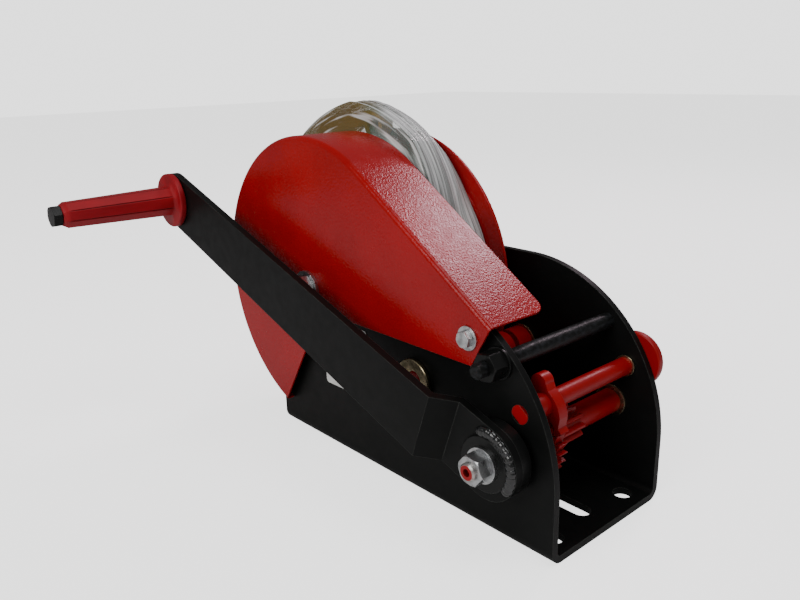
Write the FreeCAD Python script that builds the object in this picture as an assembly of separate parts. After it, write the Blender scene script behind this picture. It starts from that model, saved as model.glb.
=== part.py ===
import FreeCAD, Part
import math
import os

# Hand brake winch: a bent channel frame, a two-stage spur gear train, a ratchet
# brake on the crank shaft, and a flanged drum of wire rope packed in stretch film.
# Millimetres. X runs from the drum end to the crank end, Y from the crank side to
# the far side, Z up. The origin is the middle of the base's underside, which is
# also the middle of its four mounting holes.

V = FreeCAD.Vector
ACROSS = V(0, 1, 0)

# --- fits and running gaps -----------------------------------------------------
RUNNING_FIT = 0.05
PRESS_GAP = 0.02
BODY_GAP = 0.4
END_FLOAT = 0.4

# --- frame channel -----------------------------------------------------------
FRAME_LENGTH = 296.0
FRAME_WIDTH = 120.0
FRAME_HEIGHT = 162.2
PLATE = 5.0
NOSE_RADIUS = 116.7
BEND_INSIDE = 4.0
HEEL_RADIUS = 6.0
MOUNT_HOLE_RADIUS = 6.75
MOUNT_FROM_END = 15.0
MOUNT_FROM_SIDE = 20.5
MOUNT_SPACING_X = FRAME_LENGTH - 2 * MOUNT_FROM_END
MOUNT_SPACING_Y = FRAME_WIDTH - 2 * MOUNT_FROM_SIDE
SLOT_WIDTH = 13.5
SLOT_LENGTH = 56.0
SLOT_FROM_END = 43.0

NEAR_OUT = -FRAME_WIDTH / 2
NEAR_IN = NEAR_OUT + PLATE
FAR_OUT = FRAME_WIDTH / 2
FAR_IN = FAR_OUT - PLATE
FRONT = FRAME_LENGTH / 2
SLOT_X = FRONT - SLOT_FROM_END

# --- gear train ----------------------------------------------------------------
FIRST_MODULE = 2.2
DRIVE_TEETH = 10
COUNTER_TEETH = 70
SECOND_MODULE = 2.75
PINION_TEETH = 10
DRUM_TEETH = 80
ADDENDUM = 0.8
DEDENDUM = 1.0
FLANK_BACKLASH = 0.3
PRESSURE_ANGLE = 20.0

DRIVE_FROM_END = 38.5
DRIVE_X, DRIVE_Z = FRONT - DRIVE_FROM_END, 65.3
COUNTER_Z = 89.3
DRUM_Z = 135.3
FIRST_CENTRES = FIRST_MODULE * (DRIVE_TEETH + COUNTER_TEETH) / 2
SECOND_CENTRES = SECOND_MODULE * (PINION_TEETH + DRUM_TEETH) / 2
COUNTER_X = DRIVE_X - math.sqrt(FIRST_CENTRES**2 - (COUNTER_Z - DRIVE_Z) ** 2)
DRUM_X = COUNTER_X - math.sqrt(SECOND_CENTRES**2 - (DRUM_Z - COUNTER_Z) ** 2)
DRIVE = (DRIVE_X, DRIVE_Z)
COUNTER = (COUNTER_X, COUNTER_Z)
DRUM = (DRUM_X, DRUM_Z)

GEAR_GAP = 3.0
GEAR_LAP = 1.5
COUNTER_GEAR_Y = NEAR_IN + GEAR_GAP
COUNTER_GEAR_WIDTH = 8.0
DRUM_GEAR_Y = COUNTER_GEAR_Y + COUNTER_GEAR_WIDTH + GEAR_GAP
DRUM_GEAR_WIDTH = 11.0
PINION_Y = DRUM_GEAR_Y - GEAR_LAP
PINION_COLLAR = 13.0
RIVETS = 6
RIVET_CIRCLE = 58.0
RIVET_RADIUS = 4.0
RIVET_HEAD = (6.0, 2.0)

# --- drum ------------------------------------------------------------------------
FLANGE_RADIUS = 114.4
FAR_FLANGE_RADIUS = 116.2
FLANGE_THICK = 4.0
FLANGE_STEP = (14.0, 0.8)
FLANGE_ROUND = 1.6
NEAR_FLANGE_Y = DRUM_GEAR_Y + DRUM_GEAR_WIDTH
BARREL_START_Y = NEAR_FLANGE_Y + FLANGE_THICK
FAR_FLANGE_GAP = 21.0
FAR_FLANGE_Y = FAR_IN - FAR_FLANGE_GAP
BARREL_RADIUS = 38.0
BARREL_WALL = 6.0
HUB_RADIUS = 22.0
SLEEVE_RADIUS = 13.0
DRUM_BUSH_WALL = 2.0
DRUM_BUSH_LENGTH = 22.0
AXLE_RADIUS = 7.0
AXLE_WASHER = (14.5, 2.5)
AXLE_HEAD_FLATS = 22.0
AXLE_HEAD_THICK = 9.0
AXLE_HEAD_TURN = 8.0
AXLE_NUT_THICK = 12.0
AXLE_NUT_TURN = 20.0
AXLE_PROUD = 4.0
DRUM_BUSH_BORE = SLEEVE_RADIUS + RUNNING_FIT
HUB_BORE = DRUM_BUSH_BORE + DRUM_BUSH_WALL

# --- rope ------------------------------------------------------------------------
ROPE_RADIUS = 3.75
ROPE_CENTRE = 95.5
ROPE_TURNS = 3.6
ROPE_DIP = 8.0
ROPE_STUB = 7.5
LAYER_GAP = 0.25
ROPE_START_Y = FAR_FLANGE_Y - BODY_GAP - ROPE_RADIUS
CORE_RADIUS = ROPE_CENTRE - ROPE_RADIUS - LAYER_GAP
CLAMP_DISTANCE = 60.0
CLAMP_ANGLE = 60.0
CLAMP_SIZE = (26.0, 7.0, 15.0)
CLAMP_ROUND = 3.0
CLAMP_SCREW_PITCH = 14.0
CLAMP_SCREW_RADIUS = 2.5
CLAMP_HEAD_FLATS = 8.0
CLAMP_HEAD_THICK = 3.5

# --- stowed hook and its rope eye ----------------------------------------------------
HOOK_ANGLE = 99.0
HOOK_BASE = 101.5
HOOK_THICK = 11.0
HOOK_FROM_FLANGE = 19.0
HOOK_Y = BARREL_START_Y + HOOK_FROM_FLANGE
HOOK_MID_Y = HOOK_Y + HOOK_THICK / 2
HOOK_BACK = 29.0
BOWL = (26.0, 12.6)
BOWL_OUTER = 17.5
BOWL_INNER = 8.5
EYE = (-32.0, 18.0)
EYE_OUTER = 11.0
EYE_INNER = 6.5
BOWL_TIP_DROP = 8.0
MOUTH_LIFT = 1.0
MOUTH_INSET = 6.0
LATCH_INSET = 2.5
LATCH_U = 0.5
LATCH_ROOT = 3.5
LATCH_LIFT = 1.5
LATCH_TIP = (13.5, 11.0)
LOOP_RADIUS = 9.0
LOOP_WIRE = 3.0
FERRULE_RADIUS = 6.5
FERRULE_LENGTH = 18.0

# --- stretch film ------------------------------------------------------------------
FILM_THICK = 0.6
FILM_RADIUS = 100.2
FILM_FROM_NEAR, FILM_FROM_FAR = 1.5, 1.4
FILM_START_Y = BARREL_START_Y + FILM_FROM_NEAR
FILM_END_Y = FAR_FLANGE_Y - FILM_FROM_FAR
HUMP_LEAD = 7.0
HUMP_START_Y = HOOK_Y - HUMP_LEAD
HUMP_FOOT = (98.0, 30.0, 160.0)
HUMP_ANGLES = (62.0, 95.0, 128.0)
HUMP_SECTIONS = (
    (0.0, 112.0, 125.0, 121.0),
    (0.1, 126.5, 140.0, 136.0),
    (0.5, 126.5, 140.0, 136.0),
    (1.0, 112.5, 128.0, 122.0),
)

# --- gear cover --------------------------------------------------------------------
COVER_STANDOFF = 8.0
COVER_DEPTH = 53.0
COVER_FACE_Y = NEAR_OUT - COVER_STANDOFF
COVER_SHEET = 1.5
COVER_RIM_END_Y = COVER_FACE_Y + COVER_DEPTH
COVER_RADIUS = 117.8
COVER_BEND = 3.5
COVER_FOOT_Z = 119.7
TAIL_TIP_FROM_END = 46.4
TAIL_HEEL_FROM_END = 62.2
TAIL_TIP = (FRONT - TAIL_TIP_FROM_END, 148.4)
TAIL_HEEL = (FRONT - TAIL_HEEL_FROM_END, COVER_FOOT_Z)
NOTCH_FROM_END = 72.5
NOTCH_X = NOTCH_FROM_END - FRONT
SKIRT_ANGLE = 248.2
RIM_CORNER = 8.0
TAIL_BOLT_FROM_END = 64.7
TAIL_BOLT = (FRONT - TAIL_BOLT_FROM_END, 137.8)
TAIL_BOLT_RADIUS = 3.0
TAIL_WASHER = (8.0, 1.4)
TAIL_HEAD_FLATS = 10.0
TAIL_HEAD_THICK = 4.2
TAIL_HEAD_TURN = 18.0
TAIL_SPACER_RADIUS = 7.0
AXLE_SPACER_RADIUS = 13.0
COVER_BACK_Y = COVER_FACE_Y + COVER_SHEET

# --- bearings --------------------------------------------------------------------
JOURNAL_RADIUS = 7.2
BUSH_BODY_RADIUS = 11.0
BUSH_FLANGE = 16.4
BUSH_FLANGE_THICK = 3.6
BUSH_RECESS = (2.2, 2.0)
COUNTER_THRUST = 14.2
DRIVE_THRUST = 11.9
THRUST_THICK = 1.4
BUSH_BORE = JOURNAL_RADIUS + RUNNING_FIT
RING_WALL = 2.6
RING_THICK = 1.2
RING_GAP = 0.1
SHAFT_PROUD = 2.0

# --- countershaft and drive shaft ----------------------------------------------------
COUNTER_CORE = 8.0
COUNTER_NECK = 8.6
COUNTER_BODY = 12.6
JOURNAL_PROUD = 2.8
COUNTER_NEAR_END_Y = NEAR_OUT - JOURNAL_PROUD
DRIVE_BODY_RADIUS = 8.8
DRIVE_PINION_LENGTH = 59.5
PINION_START_Y = COUNTER_GEAR_Y - GEAR_LAP
PINION_END_Y = PINION_START_Y + DRIVE_PINION_LENGTH
RATCHET_TEETH = 24
RATCHET_TIP = 24.6
RATCHET_ROOT = 20.4
RATCHET_LAND = 0.1
RATCHET_FROM_PLATE = 17.0
RATCHET_Y = NEAR_IN + RATCHET_FROM_PLATE
RATCHET_WIDTH = 8.5
FRICTION_THICK = 2.5
FRICTION_RADIUS = 19.0
BRAKE_SEAT = 10.4
BRAKE_GAP = 0.1

# --- crank -----------------------------------------------------------------------
ARM_THICK = 6.0
ARM_WIDTH = 50.0
ARM_TAPER = 1.5
ARM_STANDOFF = 20.0
ARM_JOGGLE = 15.0
ARM_IN_Y = NEAR_OUT - ARM_STANDOFF
ARM_OUT_Y = ARM_IN_Y - ARM_JOGGLE
ARM_LENGTH = 384.0
ARM_TILT = 19.1
JOGGLE_START = 32.0
JOGGLE_END = 45.0
JOGGLE_OFFSET = 2.0
HUB_DISC_THICK = 8.0
HUB_SLEEVE_RADIUS = 12.0
HUB_NOSE_RADIUS = 19.0
HUB_NOSE = 2.5
WELD_RADIUS = 2.6
WELD_ANGLES = (-35.0, 30.0, 95.0)
HUB_WASHER = (11.8, 2.2)
HUB_NUT_FLATS = 18.0
HUB_NUT_THICK = 9.6
HUB_NUT_TURN = -8.0
NOSE_PROUD = 2.7
SHAFT_END_Y = ARM_IN_Y - HUB_NOSE - HUB_WASHER[1] - HUB_NUT_THICK - NOSE_PROUD
STUD_RADIUS = 6.0
CENTRE_HOLE = (2.6, 1.3, 4.0)
HUB_BACK_Y = ARM_IN_Y + ARM_THICK + HUB_DISC_THICK

# --- crank grip ------------------------------------------------------------------
GRIP_LENGTH = 100.0
GRIP_FLANGE_RADIUS = 23.6
GRIP_FLANGE_THICK = 5.5
GRIP_ROOT_RADIUS = 12.4
GRIP_TIP_RADIUS = 10.4
GRIP_FLATS = 8
GRIP_TIP_CHAMFER = (2.2, 4.0)
GRIP_BOLT_RADIUS = 5.0
GRIP_HEAD_FLATS = 16.0
GRIP_HEAD_THICK = 7.0
GRIP_HEAD_TURN = 12.0
GRIP_NUT_THICK = 7.0
GRIP_NUT_TURN = 25.0

# --- pawl ------------------------------------------------------------------------
PAWL_AHEAD, PAWL_RISE = 10.1, 29.7
PAWL_X, PAWL_Z = DRIVE_X + PAWL_AHEAD, DRIVE_Z + PAWL_RISE
PAWL = (PAWL_X, PAWL_Z)
PAWL_ROD_RADIUS = 6.3
PAWL_BOSS = 9.5
PAWL_WAIST = 6.1
PAWL_LIFT = 16.0
PAWL_LOBE = ((-9.8, 11.6), (-4.6, 19.2), (1.8, 13.6))
PAWL_BROW = ((3.6, 9.6), (10.4, 2.8), (13.4, -6.4), (12.4, -13.4))
PAWL_NOSE_THICK = 3.0
THROAT_TURN = 6.0
WAIST_TURN = 14.0
LOBE_FOOT_TURN = 22.0
NOSE_ANGLE = 27.0
NOSE_GAP = 0.4
COLLAR_WALL = 1.3
ROD_FLATS = 4.6
ROD_FLAT_DEPTH = 3.0
ROD_FLAT_TURN = 38.0
LEVER_RADIUS = 20.0
LEVER_OFFSET = (2.8, 3.6)
LEVER_THICK = 5.5

# --- tie rod and blank plate ---------------------------------------------------------
TIE_FROM_END = 45.6
TIE_X, TIE_Z = FRONT - TIE_FROM_END, 124.4
TIE = (TIE_X, TIE_Z)
TIE_RADIUS = 5.75
TIE_STUD_RADIUS = 5.0
TIE_NUT_FLATS = 17.0
TIE_NUT_THICK = 12.0
TIE_NUT_TURN = 10.0
TIE_WASHER = (10.6, 2.0)
TIE_PROUD = 9.0
LABEL_FROM_END = 65.6
LABEL_X, LABEL_Z = LABEL_FROM_END - FRONT, 56.3
LABEL_WIDTH, LABEL_HEIGHT = 54.0, 55.8
LABEL_THICK = 0.4
LABEL_CORNER = 3.0


def rod(x, z, radius, y0, y1):
    """Solid cylinder lying across the frame."""
    return Part.makeCylinder(radius, y1 - y0, V(x, y0, z), ACROSS)


def tube(x, z, outer, inner, y0, y1):
    """Hollow cylinder lying across the frame."""
    return rod(x, z, outer, y0, y1).cut(rod(x, z, inner, y0 - 1, y1 + 1))


def through(x, z, radius):
    """Cutter for a hole right across the winch."""
    return rod(x, z, radius, 3 * NEAR_OUT, 3 * FAR_OUT)


def slab(points, y0, y1):
    """Straight-sided outline in the XZ plane, given thickness across the frame."""
    loop = Part.makePolygon([V(x, y0, z) for x, z in points + points[:1]])
    return Part.Face(loop).extrude(V(0, y1 - y0, 0))


def plate(edges, y0, y1):
    """Outline of lines and arcs in the XZ plane, given thickness across the frame."""
    wire = Part.Wire(Part.__sortEdges__(edges))
    wire.translate(V(0, y0, 0))
    return Part.Face(wire).extrude(V(0, y1 - y0, 0))


def flat(x, z):
    return V(x, 0, z)


def line(a, b):
    return Part.makeLine(flat(*a), flat(*b))


def arc(a, m, b):
    return Part.Arc(flat(*a), flat(*m), flat(*b)).toShape()


def polar(centre, radius, degrees):
    turn = math.radians(degrees)
    return (centre[0] + radius * math.cos(turn), centre[1] + radius * math.sin(turn))


def angle_to(a, b):
    return math.degrees(math.atan2(b[1] - a[1], b[0] - a[0]))


def hexagon(x, z, across_flats, y0, y1, turn=0.0):
    """Hexagonal prism lying across the frame, with its ends chamfered round."""
    corner = across_flats / math.sqrt(3)
    points = [polar((x, z), corner, turn + 60 * k) for k in range(6)]
    lead = (corner - across_flats / 2) * 0.75
    return slab(points, y0, y1).common(chamfered_rod(x, z, corner, y0, y1, lead))


def chamfered_rod(x, z, radius, y0, y1, lead):
    """Rod with both end edges broken."""
    body = rod(x, z, radius, y0, y1)
    rims = [e for e in body.Edges if isinstance(e.Curve, Part.Circle)]
    return body.makeChamfer(lead, rims)


def rounded_rod(x, z, radius, y0, y1, blend):
    """Disc with both end edges rounded."""
    body = rod(x, z, radius, y0, y1)
    rims = [e for e in body.Edges if isinstance(e.Curve, Part.Circle)]
    return body.makeFillet(blend, rims)


def washer(centre, size, hole, y0, outward):
    """Washer whose seat is at y0, standing outward (-1 near side, 1 far side)."""
    radius, thick = size
    ends = sorted((y0, y0 + outward * thick))
    return tube(*centre, radius, hole + RUNNING_FIT, *ends)


def save(name, *solids):
    shape = solids[0] if len(solids) == 1 else Part.makeCompound(list(solids))
    if not shape.isValid():
        raise ValueError(name + " is not a valid shape")
    shape.exportStep("parts/" + name + ".step")
    box = shape.BoundBox
    print("%-22s %9.0f mm3  y %.1f..%.1f" % (name, shape.Volume, box.YMin, box.YMax))


# --- gear teeth --------------------------------------------------------------------
def unwind(base, radius):
    """Polar angle gained by the involute of a base circle when it reaches a radius."""
    spread = math.sqrt(max((radius / base) ** 2 - 1, 0))
    return spread - math.atan(spread)


def spur_gear(centre, module, teeth, y0, y1, phase):
    """Spur gear with arc-fitted involute flanks. phase is a tooth's angle in degrees."""
    pitch = module * teeth / 2
    tip = pitch + ADDENDUM * module
    root = pitch - DEDENDUM * module
    base = pitch * math.cos(math.radians(PRESSURE_ANGLE))
    start = max(base, root + 0.15 * module)
    mid = (start + tip) / 2
    half = (math.pi * module / 2 - FLANK_BACKLASH) / (2 * pitch) + unwind(base, pitch)
    foot = math.degrees(half - unwind(base, start))

    def flank(radius, side, at):
        swing = math.degrees(half - unwind(base, radius))
        return polar(centre, radius, at + side * swing)

    edges = []
    for k in range(teeth):
        at = phase + 360.0 * k / teeth
        after = at + 360.0 / teeth
        low = polar(centre, root, at - foot)
        high = polar(centre, root, at + foot)
        edges.append(line(low, flank(start, -1, at)))
        edges.append(arc(flank(start, -1, at), flank(mid, -1, at), flank(tip, -1, at)))
        edges.append(arc(flank(tip, -1, at), polar(centre, tip, at), flank(tip, 1, at)))
        edges.append(arc(flank(tip, 1, at), flank(mid, 1, at), flank(start, 1, at)))
        edges.append(line(flank(start, 1, at), high))
        valley = polar(centre, root, (at + after) / 2)
        edges.append(arc(high, valley, polar(centre, root, after - foot)))
    return plate(edges, y0, y1)


# --- frame pieces --------------------------------------------------------------------
def side_profile(y0, y1):
    """Side plate: square heel at the drum end, large round nose at the crank end."""
    nose = (FRONT - NOSE_RADIUS, FRAME_HEIGHT - NOSE_RADIUS)
    heel = (-FRONT + HEEL_RADIUS, HEEL_RADIUS)
    crown = (-FRONT + HEEL_RADIUS, FRAME_HEIGHT - HEEL_RADIUS)
    edges = [
        line(polar(heel, HEEL_RADIUS, 270), (FRONT, 0.0)),
        line((FRONT, 0.0), polar(nose, NOSE_RADIUS, 0)),
        arc(polar(nose, NOSE_RADIUS, 0), polar(nose, NOSE_RADIUS, 45), polar(nose, NOSE_RADIUS, 90)),
        line(polar(nose, NOSE_RADIUS, 90), polar(crown, HEEL_RADIUS, 90)),
        arc(polar(crown, HEEL_RADIUS, 90), polar(crown, HEEL_RADIUS, 135), polar(crown, HEEL_RADIUS, 180)),
        line(polar(crown, HEEL_RADIUS, 180), polar(heel, HEEL_RADIUS, 180)),
        arc(polar(heel, HEEL_RADIUS, 180), polar(heel, HEEL_RADIUS, 225), polar(heel, HEEL_RADIUS, 270)),
    ]
    return plate(edges, y0, y1)


def trough(half_width, floor, radius):
    """U outline across the frame, from above the sides down to the given floor."""
    top = FRAME_HEIGHT + PLATE
    turn = radius * (1 - math.sqrt(0.5))
    left, right = -half_width, half_width
    corners = [
        V(-FRONT, left, top),
        V(-FRONT, left, floor + radius),
        V(-FRONT, left + radius, floor),
        V(-FRONT, right - radius, floor),
        V(-FRONT, right, floor + radius),
        V(-FRONT, right, top),
    ]
    edges = [
        Part.makeLine(corners[0], corners[1]),
        Part.Arc(corners[1], V(-FRONT, left + turn, floor + turn), corners[2]).toShape(),
        Part.makeLine(corners[2], corners[3]),
        Part.Arc(corners[3], V(-FRONT, right - turn, floor + turn), corners[4]).toShape(),
        Part.makeLine(corners[4], corners[5]),
        Part.makeLine(corners[5], corners[0]),
    ]
    return Part.Face(Part.Wire(edges)).extrude(V(FRAME_LENGTH, 0, 0))


def frame_channel():
    """Base and two upright sides bent from one plate, then pierced."""
    shape = trough(FAR_OUT, 0.0, BEND_INSIDE + PLATE).cut(trough(FAR_IN, PLATE, BEND_INSIDE))
    shape = shape.common(side_profile(NEAR_OUT - 1, FAR_OUT + 1))
    for x in (-MOUNT_SPACING_X / 2, MOUNT_SPACING_X / 2):
        for y in (-MOUNT_SPACING_Y / 2, MOUNT_SPACING_Y / 2):
            shape = shape.cut(Part.makeCylinder(MOUNT_HOLE_RADIUS, 3 * PLATE, V(x, y, -PLATE)))
    shape = shape.cut(base_slot())
    for centre, radius in (
        (DRIVE, BUSH_BODY_RADIUS + PRESS_GAP),
        (COUNTER, BUSH_BODY_RADIUS + PRESS_GAP),
        (DRUM, AXLE_RADIUS + RUNNING_FIT),
        (PAWL, PAWL_ROD_RADIUS + RUNNING_FIT),
        (TIE, TIE_STUD_RADIUS + RUNNING_FIT),
    ):
        shape = shape.cut(through(*centre, radius))
    return shape.cut(rod(*TAIL_BOLT, TAIL_BOLT_RADIUS + PRESS_GAP, NEAR_OUT - 1, NEAR_IN + 1))


def base_slot():
    """Long round-ended slot on the base's centre line, near the open end."""
    half = (SLOT_LENGTH - SLOT_WIDTH) / 2
    reach = 3 * PLATE
    body = Part.makeBox(2 * half, SLOT_WIDTH, reach, V(SLOT_X - half, -SLOT_WIDTH / 2, -PLATE))
    for side in (-half, half):
        body = body.fuse(Part.makeCylinder(SLOT_WIDTH / 2, reach, V(SLOT_X + side, 0, -PLATE)))
    return body


def near_bush(centre):
    """Flanged bearing bush pressed into the near plate from outside."""
    front = NEAR_OUT - BUSH_FLANGE_THICK
    body = rod(*centre, BUSH_BODY_RADIUS, NEAR_OUT, NEAR_IN)
    flange = chamfered_rod(*centre, BUSH_FLANGE, front, NEAR_OUT, BUSH_FLANGE_THICK / 6)
    wider, deep = BUSH_RECESS
    recess = rod(*centre, BUSH_BORE + wider, front - 1, front + deep)
    return body.fuse(flange).cut(through(*centre, BUSH_BORE)).cut(recess)


def far_bush(centre, flange_radius):
    """Bush pressed into the far plate, with a thin thrust flange on the inside."""
    body = rod(*centre, BUSH_BODY_RADIUS, FAR_IN, FAR_OUT)
    flange = rod(*centre, flange_radius, FAR_IN - THRUST_THICK, FAR_IN)
    return body.fuse(flange).cut(through(*centre, BUSH_BORE))


def snap_ring(centre):
    """Snap ring that holds a shaft endways outside the far plate."""
    inner = JOURNAL_RADIUS + PRESS_GAP
    start = FAR_OUT + RING_GAP
    return tube(*centre, JOURNAL_RADIUS + RING_WALL, inner, start, start + RING_THICK)


def tie_rod():
    """Round bar between the plates: threaded near stud, far end pressed in flush."""
    reach = TIE_NUT_THICK + TIE_WASHER[1] + TIE_PROUD
    body = rod(*TIE, TIE_RADIUS, NEAR_IN, FAR_IN)
    stud = chamfered_rod(*TIE, TIE_STUD_RADIUS, NEAR_OUT - reach, FAR_OUT, TIE_STUD_RADIUS / 3)
    return body.fuse(stud)


def tie_nut():
    seat = NEAR_OUT - TIE_WASHER[1]
    body = hexagon(*TIE, TIE_NUT_FLATS, seat - TIE_NUT_THICK, seat, TIE_NUT_TURN)
    return body.cut(through(*TIE, TIE_STUD_RADIUS + PRESS_GAP))


# --- gear cover ------------------------------------------------------------------------
def cover_points(shrink, overrun):
    """Tail tip, tangent point, arc middle and skirt tip, moved in by shrink."""
    radius = COVER_RADIUS - shrink
    span = math.hypot(TAIL_TIP[0] - DRUM_X, TAIL_TIP[1] - DRUM_Z)
    touch = angle_to(DRUM, TAIL_TIP) + math.degrees(math.acos(COVER_RADIUS / span))
    outward = polar((0.0, 0.0), 1.0, touch)
    forward = polar((0.0, 0.0), 1.0, touch - 90)
    tip_x = TAIL_TIP[0] - shrink * outward[0] + overrun * forward[0]
    tip_z = TAIL_TIP[1] - shrink * outward[1] + overrun * forward[1]
    last = SKIRT_ANGLE + math.degrees(overrun / radius)
    middle = polar(DRUM, radius, (touch + last) / 2)
    return (tip_x, tip_z), polar(DRUM, radius, touch), middle, polar(DRUM, radius, last)


def cover_block(shrink, overrun, corners, y0, y1, bend):
    """Solid teardrop whose front edge is rounded along its rimmed side."""
    tip, start, middle, end = cover_points(shrink, overrun)
    path = [end] + corners + [tip]
    edges = [line(tip, start), arc(start, middle, end)]
    edges += [line(a, b) for a, b in zip(path, path[1:])]
    block = plate(edges, y0, y1)
    front = [e for e in block.Edges if abs(e.BoundBox.YMax - y0) < 0.01]
    rim = [e for e in front if isinstance(e.Curve, Part.Circle)]
    rim += [e for e in front if abs(e.Length - math.dist(tip, start)) < 0.01]
    return block.makeFillet(bend, rim)


def gear_cover():
    """Pressed sheet guard: a flat face and a deep rim joined by a rounded bend."""
    foot = [(NOTCH_X, COVER_FOOT_Z), TAIL_HEEL]
    outer = cover_block(0.0, 0.0, foot, COVER_FACE_Y, COVER_RIM_END_Y, COVER_BEND)
    below = [(NOTCH_X, -FRAME_HEIGHT), (TAIL_TIP[0] + FRONT, -FRAME_HEIGHT)]
    overrun = 4 * COVER_BEND
    inner_bend = COVER_BEND - COVER_SHEET
    inner = cover_block(COVER_SHEET, overrun, below, COVER_BACK_Y, COVER_RIM_END_Y + 1, inner_bend)
    shape = outer.cut(inner)
    edge = -FRONT - BODY_GAP
    slit = Part.makeBox(FRAME_LENGTH, FRAME_WIDTH, COVER_FOOT_Z, V(edge, NEAR_OUT - BODY_GAP, 0))
    shape = shape.cut(slit).cut(rim_corner())
    shape = shape.cut(through(*DRUM, AXLE_RADIUS + RUNNING_FIT))
    return shape.cut(through(*TAIL_BOLT, TAIL_BOLT_RADIUS + RUNNING_FIT))


def rim_corner():
    """Cutter that rounds the free corner of the rim above the frame's nose."""
    tip, start = cover_points(0.0, 0.0)[:2]
    along = V(start[0] - tip[0], 0, start[1] - tip[1]).normalize()
    up = V(along.z, 0, -along.x)
    edge = V(tip[0], COVER_RIM_END_Y, tip[1]) - up * RIM_CORNER
    near = V(0, -1, 0)
    a = edge + along * RIM_CORNER
    b = edge + near * RIM_CORNER
    turn = RIM_CORNER * (1 - math.sqrt(0.5))
    outside = edge - along * 2 - near * 2
    past_a = a - near * 2
    past_b = b - along * 2
    edges = [
        Part.Arc(a, edge + (along + near) * turn, b).toShape(),
        Part.makeLine(b, past_b),
        Part.makeLine(past_b, outside),
        Part.makeLine(outside, past_a),
        Part.makeLine(past_a, a),
    ]
    return Part.Face(Part.Wire(edges)).extrude(up * 2 * RIM_CORNER)


def cover_spacers():
    tail = tube(*TAIL_BOLT, TAIL_SPACER_RADIUS, TAIL_BOLT_RADIUS + RUNNING_FIT, COVER_BACK_Y, NEAR_OUT)
    axle = tube(*DRUM, AXLE_SPACER_RADIUS, AXLE_RADIUS + RUNNING_FIT, COVER_BACK_Y, NEAR_OUT)
    return tail, axle


def tail_bolt():
    seat = COVER_FACE_Y - TAIL_WASHER[1]
    head = hexagon(*TAIL_BOLT, TAIL_HEAD_FLATS, seat - TAIL_HEAD_THICK, seat, TAIL_HEAD_TURN)
    return head.fuse(rod(*TAIL_BOLT, TAIL_BOLT_RADIUS, seat, NEAR_IN))


def axle_bolt():
    """Long bolt through the cover, both plates and the drum's sleeve."""
    seat = COVER_FACE_Y - AXLE_WASHER[1]
    head = hexagon(*DRUM, AXLE_HEAD_FLATS, seat - AXLE_HEAD_THICK, seat, AXLE_HEAD_TURN)
    end = FAR_OUT + AXLE_WASHER[1] + AXLE_NUT_THICK + AXLE_PROUD
    return head.fuse(rod(*DRUM, AXLE_RADIUS, seat, end))


def axle_washers():
    near = washer(DRUM, AXLE_WASHER, AXLE_RADIUS, COVER_FACE_Y, -1)
    return near, washer(DRUM, AXLE_WASHER, AXLE_RADIUS, FAR_OUT, 1)


def axle_nut():
    seat = FAR_OUT + AXLE_WASHER[1]
    body = hexagon(*DRUM, AXLE_HEAD_FLATS, seat, seat + AXLE_NUT_THICK, AXLE_NUT_TURN)
    return body.cut(through(*DRUM, AXLE_RADIUS + PRESS_GAP))


def axle_sleeve():
    """Tube clamped between the plates; the drum turns on it."""
    return tube(*DRUM, SLEEVE_RADIUS, AXLE_RADIUS + RUNNING_FIT, NEAR_IN, FAR_IN)


def blank_plate():
    """Blank label with rounded corners on the near plate."""
    corner = V(LABEL_X, NEAR_OUT - LABEL_THICK, LABEL_Z)
    box = Part.makeBox(LABEL_WIDTH, LABEL_THICK, LABEL_HEIGHT, corner)
    upright = [e for e in box.Edges if abs(e.tangentAt(e.FirstParameter).y) > 0.9]
    return box.makeFillet(LABEL_CORNER, upright)


# --- drum pieces -----------------------------------------------------------------------
def drum_barrel():
    inner = BARREL_RADIUS - BARREL_WALL
    return tube(*DRUM, BARREL_RADIUS, inner, BARREL_START_Y, FAR_FLANGE_Y)


def drum_hubs():
    """Rings outside the flanges that space the drum from the plates."""
    near = tube(*DRUM, HUB_RADIUS, HUB_BORE, NEAR_IN + END_FLOAT, DRUM_GEAR_Y)
    far = tube(*DRUM, HUB_RADIUS, HUB_BORE, FAR_FLANGE_Y + FLANGE_THICK, FAR_IN - END_FLOAT)
    return near, far


def drum_bushes():
    outer = HUB_BORE - PRESS_GAP
    near_y = NEAR_IN + END_FLOAT
    far_y = FAR_IN - END_FLOAT
    near = tube(*DRUM, outer, DRUM_BUSH_BORE, near_y, near_y + DRUM_BUSH_LENGTH)
    return near, tube(*DRUM, outer, DRUM_BUSH_BORE, far_y - DRUM_BUSH_LENGTH, far_y)


def near_flange():
    disc = rounded_rod(*DRUM, FLANGE_RADIUS, NEAR_FLANGE_Y, BARREL_START_Y, FLANGE_ROUND)
    return disc.cut(through(*DRUM, HUB_BORE))


def far_flange():
    """Flange with a rolled edge and a shallow step on its rope side."""
    rim = FAR_FLANGE_RADIUS
    disc = rounded_rod(*DRUM, rim, FAR_FLANGE_Y, FAR_FLANGE_Y + FLANGE_THICK, FLANGE_ROUND)
    inset, deep = FLANGE_STEP
    step = tube(*DRUM, rim + 1, rim - inset, FAR_FLANGE_Y - 1, FAR_FLANGE_Y + deep)
    return disc.cut(step).cut(through(*DRUM, HUB_BORE))


def drum_gear():
    """Large gear, riveted to the near flange."""
    end = DRUM_GEAR_Y + DRUM_GEAR_WIDTH
    shape = spur_gear(DRUM, SECOND_MODULE, DRUM_TEETH, DRUM_GEAR_Y, end, angle_to(DRUM, COUNTER))
    shape = shape.cut(through(*DRUM, HUB_BORE))
    for centre in rivet_centres():
        shape = shape.cut(through(*centre, RIVET_RADIUS))
    return shape


def rivet_centres():
    pitch = 360.0 / RIVETS
    return [polar(DRUM, RIVET_CIRCLE, pitch * (k + 0.5)) for k in range(RIVETS)]


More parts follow.
